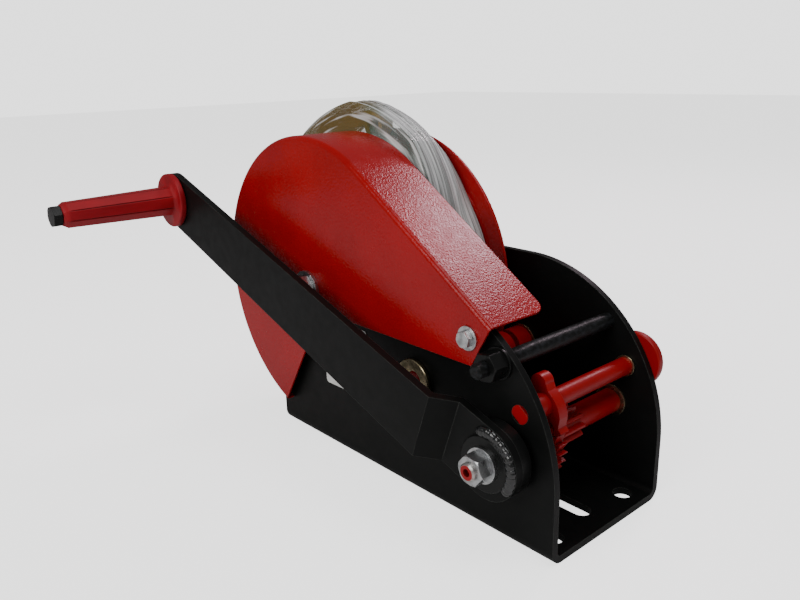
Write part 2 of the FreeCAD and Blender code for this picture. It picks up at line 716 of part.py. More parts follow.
def gear_rivets():
    """Rivets with domed heads that tie the gear to the flange."""
    wide, tall = RIVET_HEAD
    solids = []
    for centre in rivet_centres():
        shank = rod(*centre, RIVET_RADIUS - PRESS_GAP, DRUM_GEAR_Y, NEAR_FLANGE_Y)
        head = rod(*centre, wide, DRUM_GEAR_Y - tall, DRUM_GEAR_Y)
        rim = [e for e in head.Edges if abs(e.BoundBox.YMax - (DRUM_GEAR_Y - tall)) < 0.01]
        solids.append(shank.fuse(head.makeFillet(0.8 * tall, rim)))
    return solids


def clamp_centre():
    return polar(DRUM, CLAMP_DISTANCE, CLAMP_ANGLE)


def rope_clamp():
    """Saddle on the far flange that grips the rope's inner end."""
    x, z = clamp_centre()
    long, thick, tall = CLAMP_SIZE
    seat = FAR_FLANGE_Y + FLANGE_THICK
    box = Part.makeBox(long, thick, tall, V(x - long / 2, seat, z - tall / 2))
    upright = [e for e in box.Edges if abs(e.tangentAt(e.FirstParameter).y) > 0.9]
    box = box.makeFillet(CLAMP_ROUND, upright)
    for side in (-CLAMP_SCREW_PITCH / 2, CLAMP_SCREW_PITCH / 2):
        box = box.cut(through(x + side, z, CLAMP_SCREW_RADIUS + RUNNING_FIT))
    return box


def clamp_screws():
    x, z = clamp_centre()
    seat = FAR_FLANGE_Y + FLANGE_THICK
    top = seat + CLAMP_SIZE[1]
    solids = []
    for side in (-CLAMP_SCREW_PITCH / 2, CLAMP_SCREW_PITCH / 2):
        head = hexagon(x + side, z, CLAMP_HEAD_FLATS, top, top + CLAMP_HEAD_THICK)
        solids.append(head.fuse(rod(x + side, z, CLAMP_SCREW_RADIUS, seat, top)))
    return solids


# --- rope: outer layer, tail, eye and hook ------------------------------------------------
def on_pack(u, w):
    """Point of the hook's own plane: u along the rope towards the drum end, w outwards."""
    turn = math.radians(HOOK_ANGLE)
    radius = HOOK_BASE + w
    x = DRUM_X - u * math.sin(turn) + radius * math.cos(turn)
    return (x, DRUM_Z + u * math.cos(turn) + radius * math.sin(turn))


def tail_end():
    """Angle where the rope leaves the pack and the length from there to the eye."""
    eye = on_pack(*EYE)
    span = math.dist(eye, DRUM)
    lift = math.acos(ROPE_CENTRE / span)
    return angle_to(DRUM, eye) - math.degrees(lift), span * math.sin(lift)


def wound_point(degrees, y):
    x, z = polar(DRUM, ROPE_CENTRE, degrees)
    return V(x, y, z)


def wound_tangent(degrees, climb):
    """Unit tangent of the winding: round the drum, with climb along Y per radian."""
    turn = math.radians(degrees)
    return V(-math.sin(turn), climb / ROPE_CENTRE, math.cos(turn)).normalize()


def bend(a, corner, b):
    """Arc from a to b whose end tangents both point at the corner between them."""
    middle = (a + b) * 0.5
    half = (b - a).Length / 2
    reach = (corner - a).Length
    rise = (corner - middle).Length
    radius = reach * half / rise
    sagitta = radius - math.sqrt(radius**2 - half**2)
    crest = middle + (corner - middle).normalize() * sagitta
    return Part.Arc(a, crest, b).toShape()


def biarc(a, ta, b, tb):
    """Two arcs from a to b that keep both end tangents and meet smoothly."""
    chord = b - a
    both = ta + tb
    square = both.dot(both) - 4.0
    slope = -2.0 * chord.dot(both)
    rest = chord.dot(chord)
    reach = (-slope - math.sqrt(slope**2 - 4 * square * rest)) / (2 * square)
    if reach < 0:
        reach = (-slope + math.sqrt(slope**2 - 4 * square * rest)) / (2 * square)
    first = a + ta * reach
    second = b - tb * reach
    joint = (first + second) * 0.5
    return [bend(a, first, joint), bend(joint, second, b)]


def rope_path():
    """Centre line: stub out of the core, the wound turns, then the straight tail."""
    leave, tail = tail_end()
    enter = leave - 360.0 * ROPE_TURNS
    climb = (HOOK_MID_Y - ROPE_START_Y) / math.radians(360.0 * ROPE_TURNS)
    steps = math.ceil(ROPE_TURNS * 4)
    stops = [enter + (leave - enter) * k / steps for k in range(steps + 1)]
    points = [wound_point(t, ROPE_START_Y + climb * math.radians(t - enter)) for t in stops]
    tangents = [wound_tangent(t, climb) for t in stops]
    out = V(math.cos(math.radians(enter)), 0, math.sin(math.radians(enter)))
    corner = points[0] - tangents[0] * ROPE_DIP
    rise = corner - out * ROPE_DIP
    edges = [Part.makeLine(rise - out * ROPE_STUB, rise), bend(rise, corner, points[0])]
    for k in range(steps):
        edges += biarc(points[k], tangents[k], points[k + 1], tangents[k + 1])
    end = points[-1] + tangents[-1] * (tail - ferrule_span()[1])
    edges.append(Part.makeLine(points[-1], end))
    return edges, rise - out * ROPE_STUB, out, end, tangents[-1]


def wire_rope():
    edges, start, out = rope_path()[:3]
    profile = Part.Wire([Part.makeCircle(ROPE_RADIUS, start, out)])
    shape = Part.Wire(edges).makePipeShell([profile], True, False)
    length = sum(e.Length for e in edges)
    print("rope path %.1f mm, sweep/straight volume %.4f" % (
        length, shape.Volume / (math.pi * ROPE_RADIUS**2 * length)))
    print("rope's least gap to itself %.2f mm" % least_gap(edges))
    return shape


def least_gap(edges):
    """Least clear distance between stretches of rope more than a half turn apart."""
    dots = []
    travelled = 0.0
    for edge in edges:
        count = max(2, int(edge.Length / 4))
        for k in range(count):
            at = edge.getParameterByLength(edge.Length * k / count)
            dots.append((travelled + edge.Length * k / count, edge.valueAt(at)))
        travelled += edge.Length
    apart = math.pi * ROPE_CENTRE
    gaps = [(p - q).Length for s, p in dots for t, q in dots if t - s > apart]
    return min(gaps) - 2 * ROPE_RADIUS


def rope_core():
    """Lower layers of rope as one plain ring, with a pocket where the top layer starts."""
    start = BARREL_START_Y + BODY_GAP
    end = FAR_FLANGE_Y - BODY_GAP
    ring = tube(*DRUM, CORE_RADIUS, BARREL_RADIUS + PRESS_GAP, start, end)
    floor, out = rope_path()[1:3]
    along = V(-out.z, 0, out.x)
    half = ROPE_RADIUS + 2 * LAYER_GAP
    low = floor - along * half - V(0, half, 0)
    span = 2 * half + ROPE_DIP
    wall = [low, low + along * span, low + along * span + V(0, 2 * half + 1, 0), low + V(0, 2 * half + 1, 0)]
    cutter = Part.Face(Part.makePolygon(wall + wall[:1])).extrude(out * 4 * ROPE_DIP)
    return ring.cut(cutter)


def ferrule_span():
    """Distances from the hook's eye, along the rope, where the ferrule starts and ends."""
    start = 2 * LOOP_RADIUS
    return start, start + FERRULE_LENGTH


def towards_tail():
    """Unit vector from the hook's eye down along the rope's tail."""
    return rope_path()[4] * -1


def eye_centre():
    """Where the rope's axis meets the hook's eye."""
    x, z = on_pack(*EYE)
    return V(x, HOOK_MID_Y, z)


def rope_loop():
    """Bent end of the rope, round through the hook's eye and into the ferrule."""
    down = towards_tail()
    centre = eye_centre() + down * LOOP_RADIUS
    normal = down.cross(V(0, 1, 0)).normalize()
    return Part.makeTorus(LOOP_RADIUS, LOOP_WIRE, centre, normal).cut(ferrule_blank())


def ferrule_blank():
    start, end = ferrule_span()
    down = towards_tail()
    return Part.makeCylinder(FERRULE_RADIUS, end - start, eye_centre() + down * start, down)


def cargo_hook():
    """Eye hook lying on the rope, back outwards, with its bowl to the drum end."""
    y0, y1 = HOOK_Y, HOOK_Y + HOOK_THICK
    bowl = rod(*on_pack(*BOWL), BOWL_OUTER, y0, y1)
    eye = rod(*on_pack(*EYE), EYE_OUTER, y0, y1)
    lobe = BOWL[1] + BOWL_OUTER
    shank = slab(
        [
            on_pack(BOWL[0], lobe),
            on_pack(0.0, HOOK_BACK),
            on_pack(EYE[0], HOOK_BACK),
            on_pack(EYE[0], EYE[1]),
            on_pack(BOWL[0] / 3, EYE[1]),
            on_pack(BOWL[0], lobe - BOWL_TIP_DROP),
        ],
        y0,
        y1,
    )
    mouth = slab(
        [
            on_pack(BOWL[0], BOWL[1] + MOUTH_LIFT),
            on_pack(EYE[0] / 2, BOWL[1]),
            on_pack(EYE[0] / 2, BOWL[1] - BOWL_OUTER),
            on_pack(BOWL[0] - MOUTH_INSET, BOWL[1] - BOWL_INNER + MOUTH_LIFT),
        ],
        y0 - 1,
        y1 + 1,
    )
    shape = bowl.fuse(shank).fuse(eye)
    shape = shape.cut(through(*on_pack(*BOWL), BOWL_INNER)).cut(through(*on_pack(*EYE), EYE_INNER))
    return shape.cut(mouth)


def hook_latch():
    """Sprung safety latch from the shank down across the hook's mouth."""
    foot = BOWL[1] - BOWL_INNER + LATCH_LIFT
    points = [
        on_pack(LATCH_U + LATCH_ROOT, EYE[1]),
        on_pack(LATCH_U, EYE[1]),
        on_pack(BOWL[0] - LATCH_TIP[0], foot),
        on_pack(BOWL[0] - LATCH_TIP[1], foot),
    ]
    return slab(points, HOOK_Y + LATCH_INSET, HOOK_Y + HOOK_THICK - LATCH_INSET)


# --- stretch film ------------------------------------------------------------------
def hump(extra):
    """Film drawn up over the hook: ruled sides through four sections across the drum."""
    span = FILM_END_Y - HUMP_START_Y
    foot, front, rear = HUMP_FOOT
    wires = []
    for share, *heights in HUMP_SECTIONS:
        y = HUMP_START_Y + share * span
        if share == 0.0:
            y -= extra
        if share == 1.0:
            y += extra
        low = polar(DRUM, foot + extra, front)
        high = polar(DRUM, foot + extra, rear)
        crest = [polar(DRUM, h + extra, t) for h, t in zip(heights, HUMP_ANGLES)]
        edges = [line(low, crest[0]), arc(*crest), line(crest[2], high), line(high, low)]
        wire = Part.Wire(edges)
        wire.translate(V(0, y, 0))
        wires.append(wire)
    return Part.makeLoft(wires, True, True)


def packing_film():
    """Stretch film wrapped round the rope and over the hook, open at both flanges."""
    skin = FILM_THICK
    outer = rod(*DRUM, FILM_RADIUS + skin, FILM_START_Y, FILM_END_Y + skin).fuse(hump(skin))
    inner = rod(*DRUM, FILM_RADIUS, FILM_START_Y - 1, FILM_END_Y + 2 * skin).fuse(hump(0.0))
    return outer.cut(inner)


# --- countershaft ----------------------------------------------------------------------
def counter_shaft():
    """Stepped shaft: journals, a core for the gears, a thick part with a neck at each flange."""
    shoulder = NEAR_FLANGE_Y - BODY_GAP
    far_end = FAR_OUT + SHAFT_PROUD
    journals = chamfered_rod(*COUNTER, JOURNAL_RADIUS, COUNTER_NEAR_END_Y, far_end, JOURNAL_RADIUS / 9)
    core = rod(*COUNTER, COUNTER_CORE, NEAR_IN + END_FLOAT, shoulder)
    neck = rod(*COUNTER, COUNTER_NECK, shoulder, BARREL_START_Y + BODY_GAP)
    body = rod(*COUNTER, COUNTER_BODY, BARREL_START_Y + BODY_GAP, FAR_FLANGE_Y - BODY_GAP)
    past = FAR_FLANGE_Y + FLANGE_THICK + BODY_GAP
    tail = rod(*COUNTER, COUNTER_BODY, past, FAR_IN - THRUST_THICK - END_FLOAT)
    return journals.fuse(core).fuse(neck).fuse(body).fuse(tail)


def counter_gear():
    end = COUNTER_GEAR_Y + COUNTER_GEAR_WIDTH
    at = angle_to(COUNTER, DRIVE)
    gear = spur_gear(COUNTER, FIRST_MODULE, COUNTER_TEETH, COUNTER_GEAR_Y, end, at)
    return gear.cut(through(*COUNTER, COUNTER_CORE + PRESS_GAP))


def counter_pinion():
    """Small pinion that drives the drum gear; a gap faces a drum tooth."""
    at = angle_to(COUNTER, DRUM) + 180.0 / PINION_TEETH
    gear = spur_gear(COUNTER, SECOND_MODULE, PINION_TEETH, PINION_Y, NEAR_FLANGE_Y - BODY_GAP, at)
    collar = rod(*COUNTER, PINION_COLLAR, COUNTER_GEAR_Y + COUNTER_GEAR_WIDTH, PINION_Y)
    return gear.fuse(collar).cut(through(*COUNTER, COUNTER_CORE + PRESS_GAP))


# --- drive shaft, brake and crank ----------------------------------------------------------
def drive_shaft():
    """Crank shaft: threaded nose, near journal under the pinion, thick far part."""
    nose = chamfered_rod(*DRIVE, STUD_RADIUS, SHAFT_END_Y, HUB_BACK_Y, STUD_RADIUS / 6)
    shoulder = FAR_IN - THRUST_THICK - END_FLOAT
    journal = rod(*DRIVE, JOURNAL_RADIUS, HUB_BACK_Y, FAR_OUT + SHAFT_PROUD)
    body = rod(*DRIVE, DRIVE_BODY_RADIUS, PINION_END_Y, shoulder)
    centre_hole = Part.makeCone(*CENTRE_HOLE, V(DRIVE_X, SHAFT_END_Y, DRIVE_Z), ACROSS)
    return nose.fuse(journal).fuse(body).cut(centre_hole)


def brake_ends():
    stack = FRICTION_THICK + BRAKE_GAP
    return RATCHET_Y - stack, RATCHET_Y + RATCHET_WIDTH + stack


def drive_pinion():
    """Long pinion with a plain seat turned in it for the ratchet brake."""
    at = angle_to(DRIVE, COUNTER) + 180.0 / DRIVE_TEETH
    gear = spur_gear(DRIVE, FIRST_MODULE, DRIVE_TEETH, PINION_START_Y, PINION_END_Y, at)
    near, far = brake_ends()
    seat = rod(*DRIVE, BRAKE_SEAT, near, far)
    gear = gear.cut(rod(*DRIVE, RATCHET_TIP, near, far)).fuse(seat)
    return gear.cut(through(*DRIVE, JOURNAL_RADIUS + PRESS_GAP))


def ratchet_wheel():
    """Saw-toothed wheel; the steep face of each tooth meets the pawl's nose."""
    edges = []
    pitch = 360.0 / RATCHET_TEETH
    for k in range(RATCHET_TEETH):
        at = NOSE_ANGLE + k * pitch
        foot = polar(DRIVE, RATCHET_ROOT, at)
        rise = polar(DRIVE, RATCHET_TIP, at + (1 - RATCHET_LAND) * pitch)
        land = polar(DRIVE, RATCHET_TIP, at + pitch)
        edges.append(line(foot, rise))
        edges.append(line(rise, land))
        edges.append(line(land, polar(DRIVE, RATCHET_ROOT, at + pitch)))
    wheel = plate(edges, RATCHET_Y, RATCHET_Y + RATCHET_WIDTH)
    return wheel.cut(through(*DRIVE, BRAKE_SEAT + RUNNING_FIT))


def friction_discs():
    near, far = brake_ends()
    bore = BRAKE_SEAT + PRESS_GAP
    first = tube(*DRIVE, FRICTION_RADIUS, bore, near, near + FRICTION_THICK)
    return first, tube(*DRIVE, FRICTION_RADIUS, bore, far - FRICTION_THICK, far)


def crank_hub():
    """Round boss behind the arm, with a sleeve that reaches to the bush."""
    disc = rod(*DRIVE, ARM_WIDTH / 2, ARM_IN_Y + ARM_THICK, HUB_BACK_Y)
    sleeve = rod(*DRIVE, HUB_SLEEVE_RADIUS, HUB_BACK_Y, NEAR_OUT - BUSH_FLANGE_THICK - END_FLOAT)
    wide = rod(*DRIVE, JOURNAL_RADIUS + PRESS_GAP, HUB_BACK_Y, NEAR_OUT)
    return disc.fuse(sleeve).cut(through(*DRIVE, STUD_RADIUS + PRESS_GAP)).cut(wide)


def hub_nose():
    """Front disc of the hub, which the nut clamps."""
    disc = chamfered_rod(*DRIVE, HUB_NOSE_RADIUS, ARM_IN_Y - HUB_NOSE, ARM_IN_Y, HUB_NOSE / 3)
    return disc.cut(through(*DRIVE, STUD_RADIUS + PRESS_GAP))


def hub_weld():
    """Weld bead laid between the hub's front disc and the arm."""
    ring = Part.makeTorus(HUB_NOSE_RADIUS, WELD_RADIUS, V(DRIVE_X, ARM_IN_Y, DRIVE_Z), ACROSS)
    keep = tube(*DRIVE, ARM_WIDTH / 2, HUB_NOSE_RADIUS, ARM_IN_Y - WELD_RADIUS, ARM_IN_Y)
    reach = 3 * HUB_NOSE_RADIUS
    spread = [DRIVE] + [polar(DRIVE, reach, turn) for turn in WELD_ANGLES]
    return ring.common(keep).common(slab(spread, ARM_OUT_Y, ARM_IN_Y + 1))


def hub_washer():
    return washer(DRIVE, HUB_WASHER, STUD_RADIUS, ARM_IN_Y - HUB_NOSE, -1)


def hub_nut():
    seat = ARM_IN_Y - HUB_NOSE - HUB_WASHER[1]
    body = hexagon(*DRIVE, HUB_NUT_FLATS, seat - HUB_NUT_THICK, seat, HUB_NUT_TURN)
    return body.cut(through(*DRIVE, STUD_RADIUS + PRESS_GAP))


def arm_side():
    """Edge view of the crank bar, with its joggle away from the frame near the hub."""
    half = ARM_WIDTH / 2
    end = ARM_LENGTH + half
    back_in, back_out = ARM_IN_Y + ARM_THICK, ARM_OUT_Y + ARM_THICK
    points = [
        V(half, ARM_IN_Y, -half),
        V(-JOGGLE_START, ARM_IN_Y, -half),
        V(-JOGGLE_END, ARM_OUT_Y, -half),
        V(-end, ARM_OUT_Y, -half),
        V(-end, back_out, -half),
        V(-JOGGLE_END - JOGGLE_OFFSET, back_out, -half),
        V(-JOGGLE_START - JOGGLE_OFFSET, back_in, -half),
        V(half, back_in, -half),
    ]
    return Part.Face(Part.makePolygon(points + points[:1])).extrude(V(0, 0, ARM_WIDTH))


def arm_face():
    """Front view of the crank bar: round ends and a slight taper to the grip."""
    half = ARM_WIDTH / 2
    tip = half - ARM_TAPER
    edges = [
        arc((0.0, half), (half, 0.0), (0.0, -half)),
        line((0.0, -half), (-ARM_LENGTH, -tip)),
        arc((-ARM_LENGTH, -tip), (-ARM_LENGTH - tip, 0.0), (-ARM_LENGTH, tip)),
        line((-ARM_LENGTH, tip), (0.0, half)),
    ]
    return plate(edges, 2 * NEAR_OUT, NEAR_OUT)


def crank_arm():
    """Flat bar with round ends, laid at the crank's resting angle."""
    shape = arm_side().common(arm_face())
    shape = shape.cut(through(0, 0, STUD_RADIUS + PRESS_GAP))
    shape = shape.cut(through(-ARM_LENGTH, 0, GRIP_BOLT_RADIUS + PRESS_GAP))
    shape.rotate(V(0, 0, 0), ACROSS, ARM_TILT)
    shape.translate(V(DRIVE_X, 0, DRIVE_Z))
    return shape


GRIP = polar(DRIVE, ARM_LENGTH, 180.0 - ARM_TILT)
GRIP_ROOT_Y = ARM_OUT_Y - BODY_GAP
GRIP_TIP_Y = GRIP_ROOT_Y - GRIP_LENGTH


def crank_grip():
    """Moulded grip: round flange, tapered body with flats, chamfered tip."""
    seam = GRIP_ROOT_Y - GRIP_FLANGE_THICK
    flange = rounded_rod(*GRIP, GRIP_FLANGE_RADIUS, seam, GRIP_ROOT_Y, GRIP_FLANGE_THICK / 4)
    cut_back, cut_long = GRIP_TIP_CHAMFER
    wires = []
    for radius, y in (
        (GRIP_ROOT_RADIUS, seam),
        (GRIP_TIP_RADIUS, GRIP_TIP_Y + cut_long),
        (GRIP_TIP_RADIUS - cut_back, GRIP_TIP_Y),
    ):
        reach = radius / math.cos(math.pi / GRIP_FLATS)
        turns = [(k + 0.5) * 360.0 / GRIP_FLATS for k in range(GRIP_FLATS)]
        corners = [V(x, y, z) for x, z in (polar(GRIP, reach, t) for t in turns)]
        wires.append(Part.makePolygon(corners + corners[:1]))
    body = Part.makeLoft(wires, True, True)
    return body.fuse(flange).cut(through_grip(GRIP_BOLT_RADIUS + RUNNING_FIT))


def through_grip(radius):
    return rod(*GRIP, radius, 2 * GRIP_TIP_Y, NEAR_OUT)


def grip_bolt():
    """Bolt that the grip turns on, held to the arm by its nut."""
    seat = GRIP_TIP_Y - BODY_GAP
    head = hexagon(*GRIP, GRIP_HEAD_FLATS, seat - GRIP_HEAD_THICK, seat, GRIP_HEAD_TURN)
    end = ARM_OUT_Y + ARM_THICK + GRIP_NUT_THICK + GRIP_BOLT_RADIUS / 3
    return head.fuse(rod(*GRIP, GRIP_BOLT_RADIUS, seat, end))


def grip_nut():
    seat = ARM_OUT_Y + ARM_THICK
    body = hexagon(*GRIP, GRIP_HEAD_FLATS, seat, seat + GRIP_NUT_THICK, GRIP_NUT_TURN)
    return body.cut(through_grip(GRIP_BOLT_RADIUS + PRESS_GAP))


# --- pawl ----------------------------------------------------------------------------------
def pawl():
    """Thick pawl welded between the rod's two lengths: thumb lobe above, nose below."""
    pitch = 360.0 / RATCHET_TEETH
    turn_gap = math.degrees(NOSE_GAP / RATCHET_ROOT)
    clear = RATCHET_TIP + 2 * NOSE_GAP
    over = angle_to(DRIVE, PAWL)
    tip_low = polar(DRIVE, RATCHET_ROOT + 3 * NOSE_GAP, NOSE_ANGLE + turn_gap)
    tip_high = polar(DRIVE, clear + PAWL_NOSE_THICK, NOSE_ANGLE + turn_gap)
    heel = polar(DRIVE, clear, NOSE_ANGLE + pitch - turn_gap)
    throat = polar(DRIVE, clear, over - THROAT_TURN)
    under = over + 180.0
    waist = polar(PAWL, PAWL_WAIST, under)
    swing = under - PAWL_LIFT - WAIST_TURN
    left = polar(PAWL, PAWL_BOSS, swing - LOBE_FOOT_TURN)
    lobe = [on_pawl(*point) for point in PAWL_LOBE]
    brow = [on_pawl(*point) for point in PAWL_BROW]
    edges = [
        line(tip_high, tip_low),
        line(tip_low, heel),
        arc(heel, polar(DRIVE, clear, (NOSE_ANGLE + pitch + over) / 2), throat),
        line(throat, waist),
        arc(waist, polar(PAWL, PAWL_WAIST, (swing + under) / 2), polar(PAWL, PAWL_WAIST, swing)),
        line(polar(PAWL, PAWL_WAIST, swing), left),
        line(left, lobe[0]),
        arc(*lobe),
        line(lobe[2], brow[0]),
        arc(*brow[:3]),
        line(brow[2], brow[3]),
        line(brow[3], tip_high),
    ]
    return plate(edges, RATCHET_Y, RATCHET_Y + RATCHET_WIDTH)


def on_pawl(dx, dz):
    return (PAWL_X + dx, PAWL_Z + dz)


def pawl_rod():
    """Rod in two lengths either side of the pawl; two flats on the near end."""
    lead = PAWL_ROD_RADIUS / 9
    near = rod(*PAWL, PAWL_ROD_RADIUS, NEAR_OUT - BODY_GAP, RATCHET_Y)
    end = FAR_OUT + END_FLOAT + LEVER_THICK + lead
    far = rod(*PAWL, PAWL_ROD_RADIUS, RATCHET_Y + RATCHET_WIDTH, end)
    tip = [e for e in far.Edges if abs(e.BoundBox.YMin - end) < 0.01]
    depth = ROD_FLAT_DEPTH + BODY_GAP
    size = 2 * PAWL_ROD_RADIUS
    for side in (0, 180):
        cutter = Part.makeBox(size, depth, size, V(-size / 2, NEAR_OUT - BODY_GAP, ROD_FLATS))
        cutter.rotate(V(0, 0, 0), ACROSS, side + ROD_FLAT_TURN)
        cutter.translate(V(PAWL_X, 0, PAWL_Z))
        near = near.cut(cutter)
    return near, far.makeChamfer(lead, tip)


def pawl_ring(y0, y1):
    """Ring on the pawl rod that holds the pawl endways."""
    return tube(*PAWL, PAWL_ROD_RADIUS + COLLAR_WALL, PAWL_ROD_RADIUS + PRESS_GAP, y0, y1)


def release_lever():
    """Eccentric thumb disc outside the far plate that turns the pawl rod."""
    y0 = FAR_OUT + END_FLOAT
    x, z = on_pawl(*LEVER_OFFSET)
    disc = rounded_rod(x, z, LEVER_RADIUS, y0, y0 + LEVER_THICK, LEVER_THICK / 5)
    return disc.cut(through(*PAWL, PAWL_ROD_RADIUS + PRESS_GAP))


def build():
    os.makedirs("parts", exist_ok=True)
    save("frame_channel", frame_channel())
    save("near_bushes", near_bush(DRIVE), near_bush(COUNTER))
    save("far_bushes", far_bush(DRIVE, DRIVE_THRUST), far_bush(COUNTER, COUNTER_THRUST))
    save("tie_rod", tie_rod())
    save("tie_rod_nut", tie_nut())
    save("tie_rod_washer", washer(TIE, TIE_WASHER, TIE_STUD_RADIUS, NEAR_OUT, -1))
    save("blank_plate", blank_plate())
    save("gear_cover", gear_cover())
    save("cover_spacers", *cover_spacers())
    save("cover_bolt", tail_bolt())
    save("cover_washer", washer(TAIL_BOLT, TAIL_WASHER, TAIL_BOLT_RADIUS, COVER_FACE_Y, -1))
    save("axle_bolt", axle_bolt())
    save("axle_washers", *axle_washers())
    save("axle_nut", axle_nut())
    save("axle_sleeve", axle_sleeve())
    save("drum_barrel", drum_barrel())
    save("drum_hubs", *drum_hubs())
    save("drum_bushes", *drum_bushes())
    save("near_flange", near_flange())
    save("far_flange", far_flange())
    save("drum_gear", drum_gear())
    save("gear_rivets", *gear_rivets())
    save("rope_clamp", rope_clamp())
    save("clamp_screws", *clamp_screws())
    save("rope_core", rope_core())
    save("wire_rope", wire_rope())
    save("rope_loop", rope_loop())
    save("rope_ferrule", ferrule_blank())
    save("cargo_hook", cargo_hook())
    save("hook_latch", hook_latch())
    save("packing_film", packing_film())
    save("counter_shaft", counter_shaft())
    save("counter_gear", counter_gear())
    save("counter_pinion", counter_pinion())
    save("counter_snap_ring", snap_ring(COUNTER))
    save("drive_shaft", drive_shaft())
    save("drive_pinion", drive_pinion())
    save("ratchet_wheel", ratchet_wheel())
    save("friction_discs", *friction_discs())
    save("drive_snap_ring", snap_ring(DRIVE))
    save("crank_hub", crank_hub())
    save("hub_nose", hub_nose())
    save("hub_weld", hub_weld())
    save("hub_washer", hub_washer())
    save("hub_nut", hub_nut())
    save("crank_arm", crank_arm())
    save("grip_bolt", grip_bolt())
    save("grip_nut", grip_nut())
    save("crank_grip", crank_grip())
    save("pawl", pawl())
    save("pawl_rod", *pawl_rod())
    save("pawl_sleeve", pawl_ring(NEAR_IN + END_FLOAT, RATCHET_Y))
    save("pawl_collar", pawl_ring(FAR_IN - END_FLOAT - THRUST_THICK, FAR_IN - END_FLOAT))
    save("release_lever", release_lever())


build()
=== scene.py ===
import math

import bpy
import numpy as np
from mathutils import Matrix, Vector


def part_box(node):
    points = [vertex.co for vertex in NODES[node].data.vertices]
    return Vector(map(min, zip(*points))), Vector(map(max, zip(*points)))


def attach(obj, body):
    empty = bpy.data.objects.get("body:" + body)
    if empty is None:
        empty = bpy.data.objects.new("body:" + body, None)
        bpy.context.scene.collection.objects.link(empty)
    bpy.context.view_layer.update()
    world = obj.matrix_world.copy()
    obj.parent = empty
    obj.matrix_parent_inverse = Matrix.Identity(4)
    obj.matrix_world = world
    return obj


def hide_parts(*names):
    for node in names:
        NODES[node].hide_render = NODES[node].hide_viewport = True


bl_info = {
    "name": "Hand Brake Winch",
    "version": (1, 0, 0),
    "blender": (4, 5, 0),
    "location": "3D View > Sidebar > Winch",
    "description": "Dresses a hand brake winch in paint, plating, wire rope and stretch film",
    "category": "Object",
}

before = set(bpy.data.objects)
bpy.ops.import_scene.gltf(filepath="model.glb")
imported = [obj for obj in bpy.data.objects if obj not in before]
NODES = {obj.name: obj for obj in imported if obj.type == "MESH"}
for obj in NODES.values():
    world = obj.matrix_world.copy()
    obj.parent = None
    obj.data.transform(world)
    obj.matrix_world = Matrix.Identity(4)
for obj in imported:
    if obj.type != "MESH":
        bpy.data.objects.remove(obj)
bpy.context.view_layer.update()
MM = 0.001


def disc_axis(node):
    """X and Z of the middle of a round node whose axis lies along Y."""
    low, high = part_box(node)
    return (low.x + high.x) / 2, (low.z + high.z) / 2


DRUM_X, DRUM_Z = disc_axis("far_flange")
SHAFT_X, SHAFT_Z = disc_axis("hub_washer")
FAR_FACE_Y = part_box("far_flange")[0].y


# --- sizes and colours that a user may change ----------------------------------------
def colour_property(name, note, default):
    return bpy.props.FloatVectorProperty(
        name=name, description=note, default=default, size=3, min=0.0, max=1.0, subtype="COLOR")


def length_property(name, note, default, low=0.0, high=10.0):
    return bpy.props.FloatProperty(
        name=name, description=note, default=default, min=low, max=high,
        subtype="DISTANCE", unit="LENGTH")


class WinchColours(bpy.types.PropertyGroup):
    """Base colours of the winch's finishes."""

    red: colour_property("Red coat", "Powder coat of the guard, drum and shafts", (0.40, 0.0035, 0.0060))
    black: colour_property("Black coat", "Powder coat of the frame and crank", (0.0060, 0.0064, 0.0062))
    zinc: colour_property("Zinc", "Bright zinc plating of bolts and nuts", (0.62, 0.63, 0.64))
    gold: colour_property("Yellow zinc", "Yellow passivated zinc of the bushes", (0.52, 0.43, 0.27))
    gear: colour_property("Gear steel", "Oiled steel of the gears", (0.20, 0.19, 0.18))
    rope: colour_property("Rope wire", "Galvanised wire with a green corrosion guard", (0.17, 0.36, 0.27))
    hook: colour_property("Hook", "Yellow enamel of the cargo hook", (0.86, 0.50, 0.020))
    grip: colour_property("Grip", "Moulded plastic of the crank grip", (0.36, 0.009, 0.016))
    film: colour_property("Film", "Haze of the stretch film", (0.90, 0.94, 0.93))
    label: colour_property("Blank plate", "Blank white plate on the near side", (0.86, 0.86, 0.84))
    floor: colour_property("Floor", "Pale studio floor", (0.90, 0.90, 0.90))


class WinchSizes(bpy.types.PropertyGroup):
    """Sizes of the pieces that are laid on the metal frame."""

    rope_diameter: length_property("Rope", "Diameter of the wire rope", 7.5 * MM)
    rope_line: length_property("Rope line", "Radius of the outer layer's centre line", 95.5 * MM)
    rope_lay: length_property("Lay", "Length in which a strand goes once round the rope", 48.0 * MM)
    rope_turns: bpy.props.FloatProperty(
        name="Turns", description="Turns of the rope's outer layer", default=3.6, min=1.0, max=5.0)
    film_radius: length_property("Film radius", "Radius of the film where it lies on the rope", 100.8 * MM)
    film_wall: length_property("Film wall", "Thickness of the wrapped film", 0.3 * MM)
    fold_height: length_property("Folds", "Height of the tension folds in the film", 1.3 * MM)
    bead_radius: length_property("Weld bead", "Half width of the weld on the crank hub", 3.9 * MM)
    coat_grain: length_property("Coat grain", "Width of the bumps in the powder coat", 1.5 * MM)
    camera_lens: bpy.props.FloatProperty(
        name="Lens", description="Focal length of the camera in millimetres",
        default=34.5, min=10.0, max=200.0, subtype="DISTANCE_CAMERA")


def colours():
    return bpy.context.scene.winch_colours


def sizes():
    return bpy.context.scene.winch_sizes


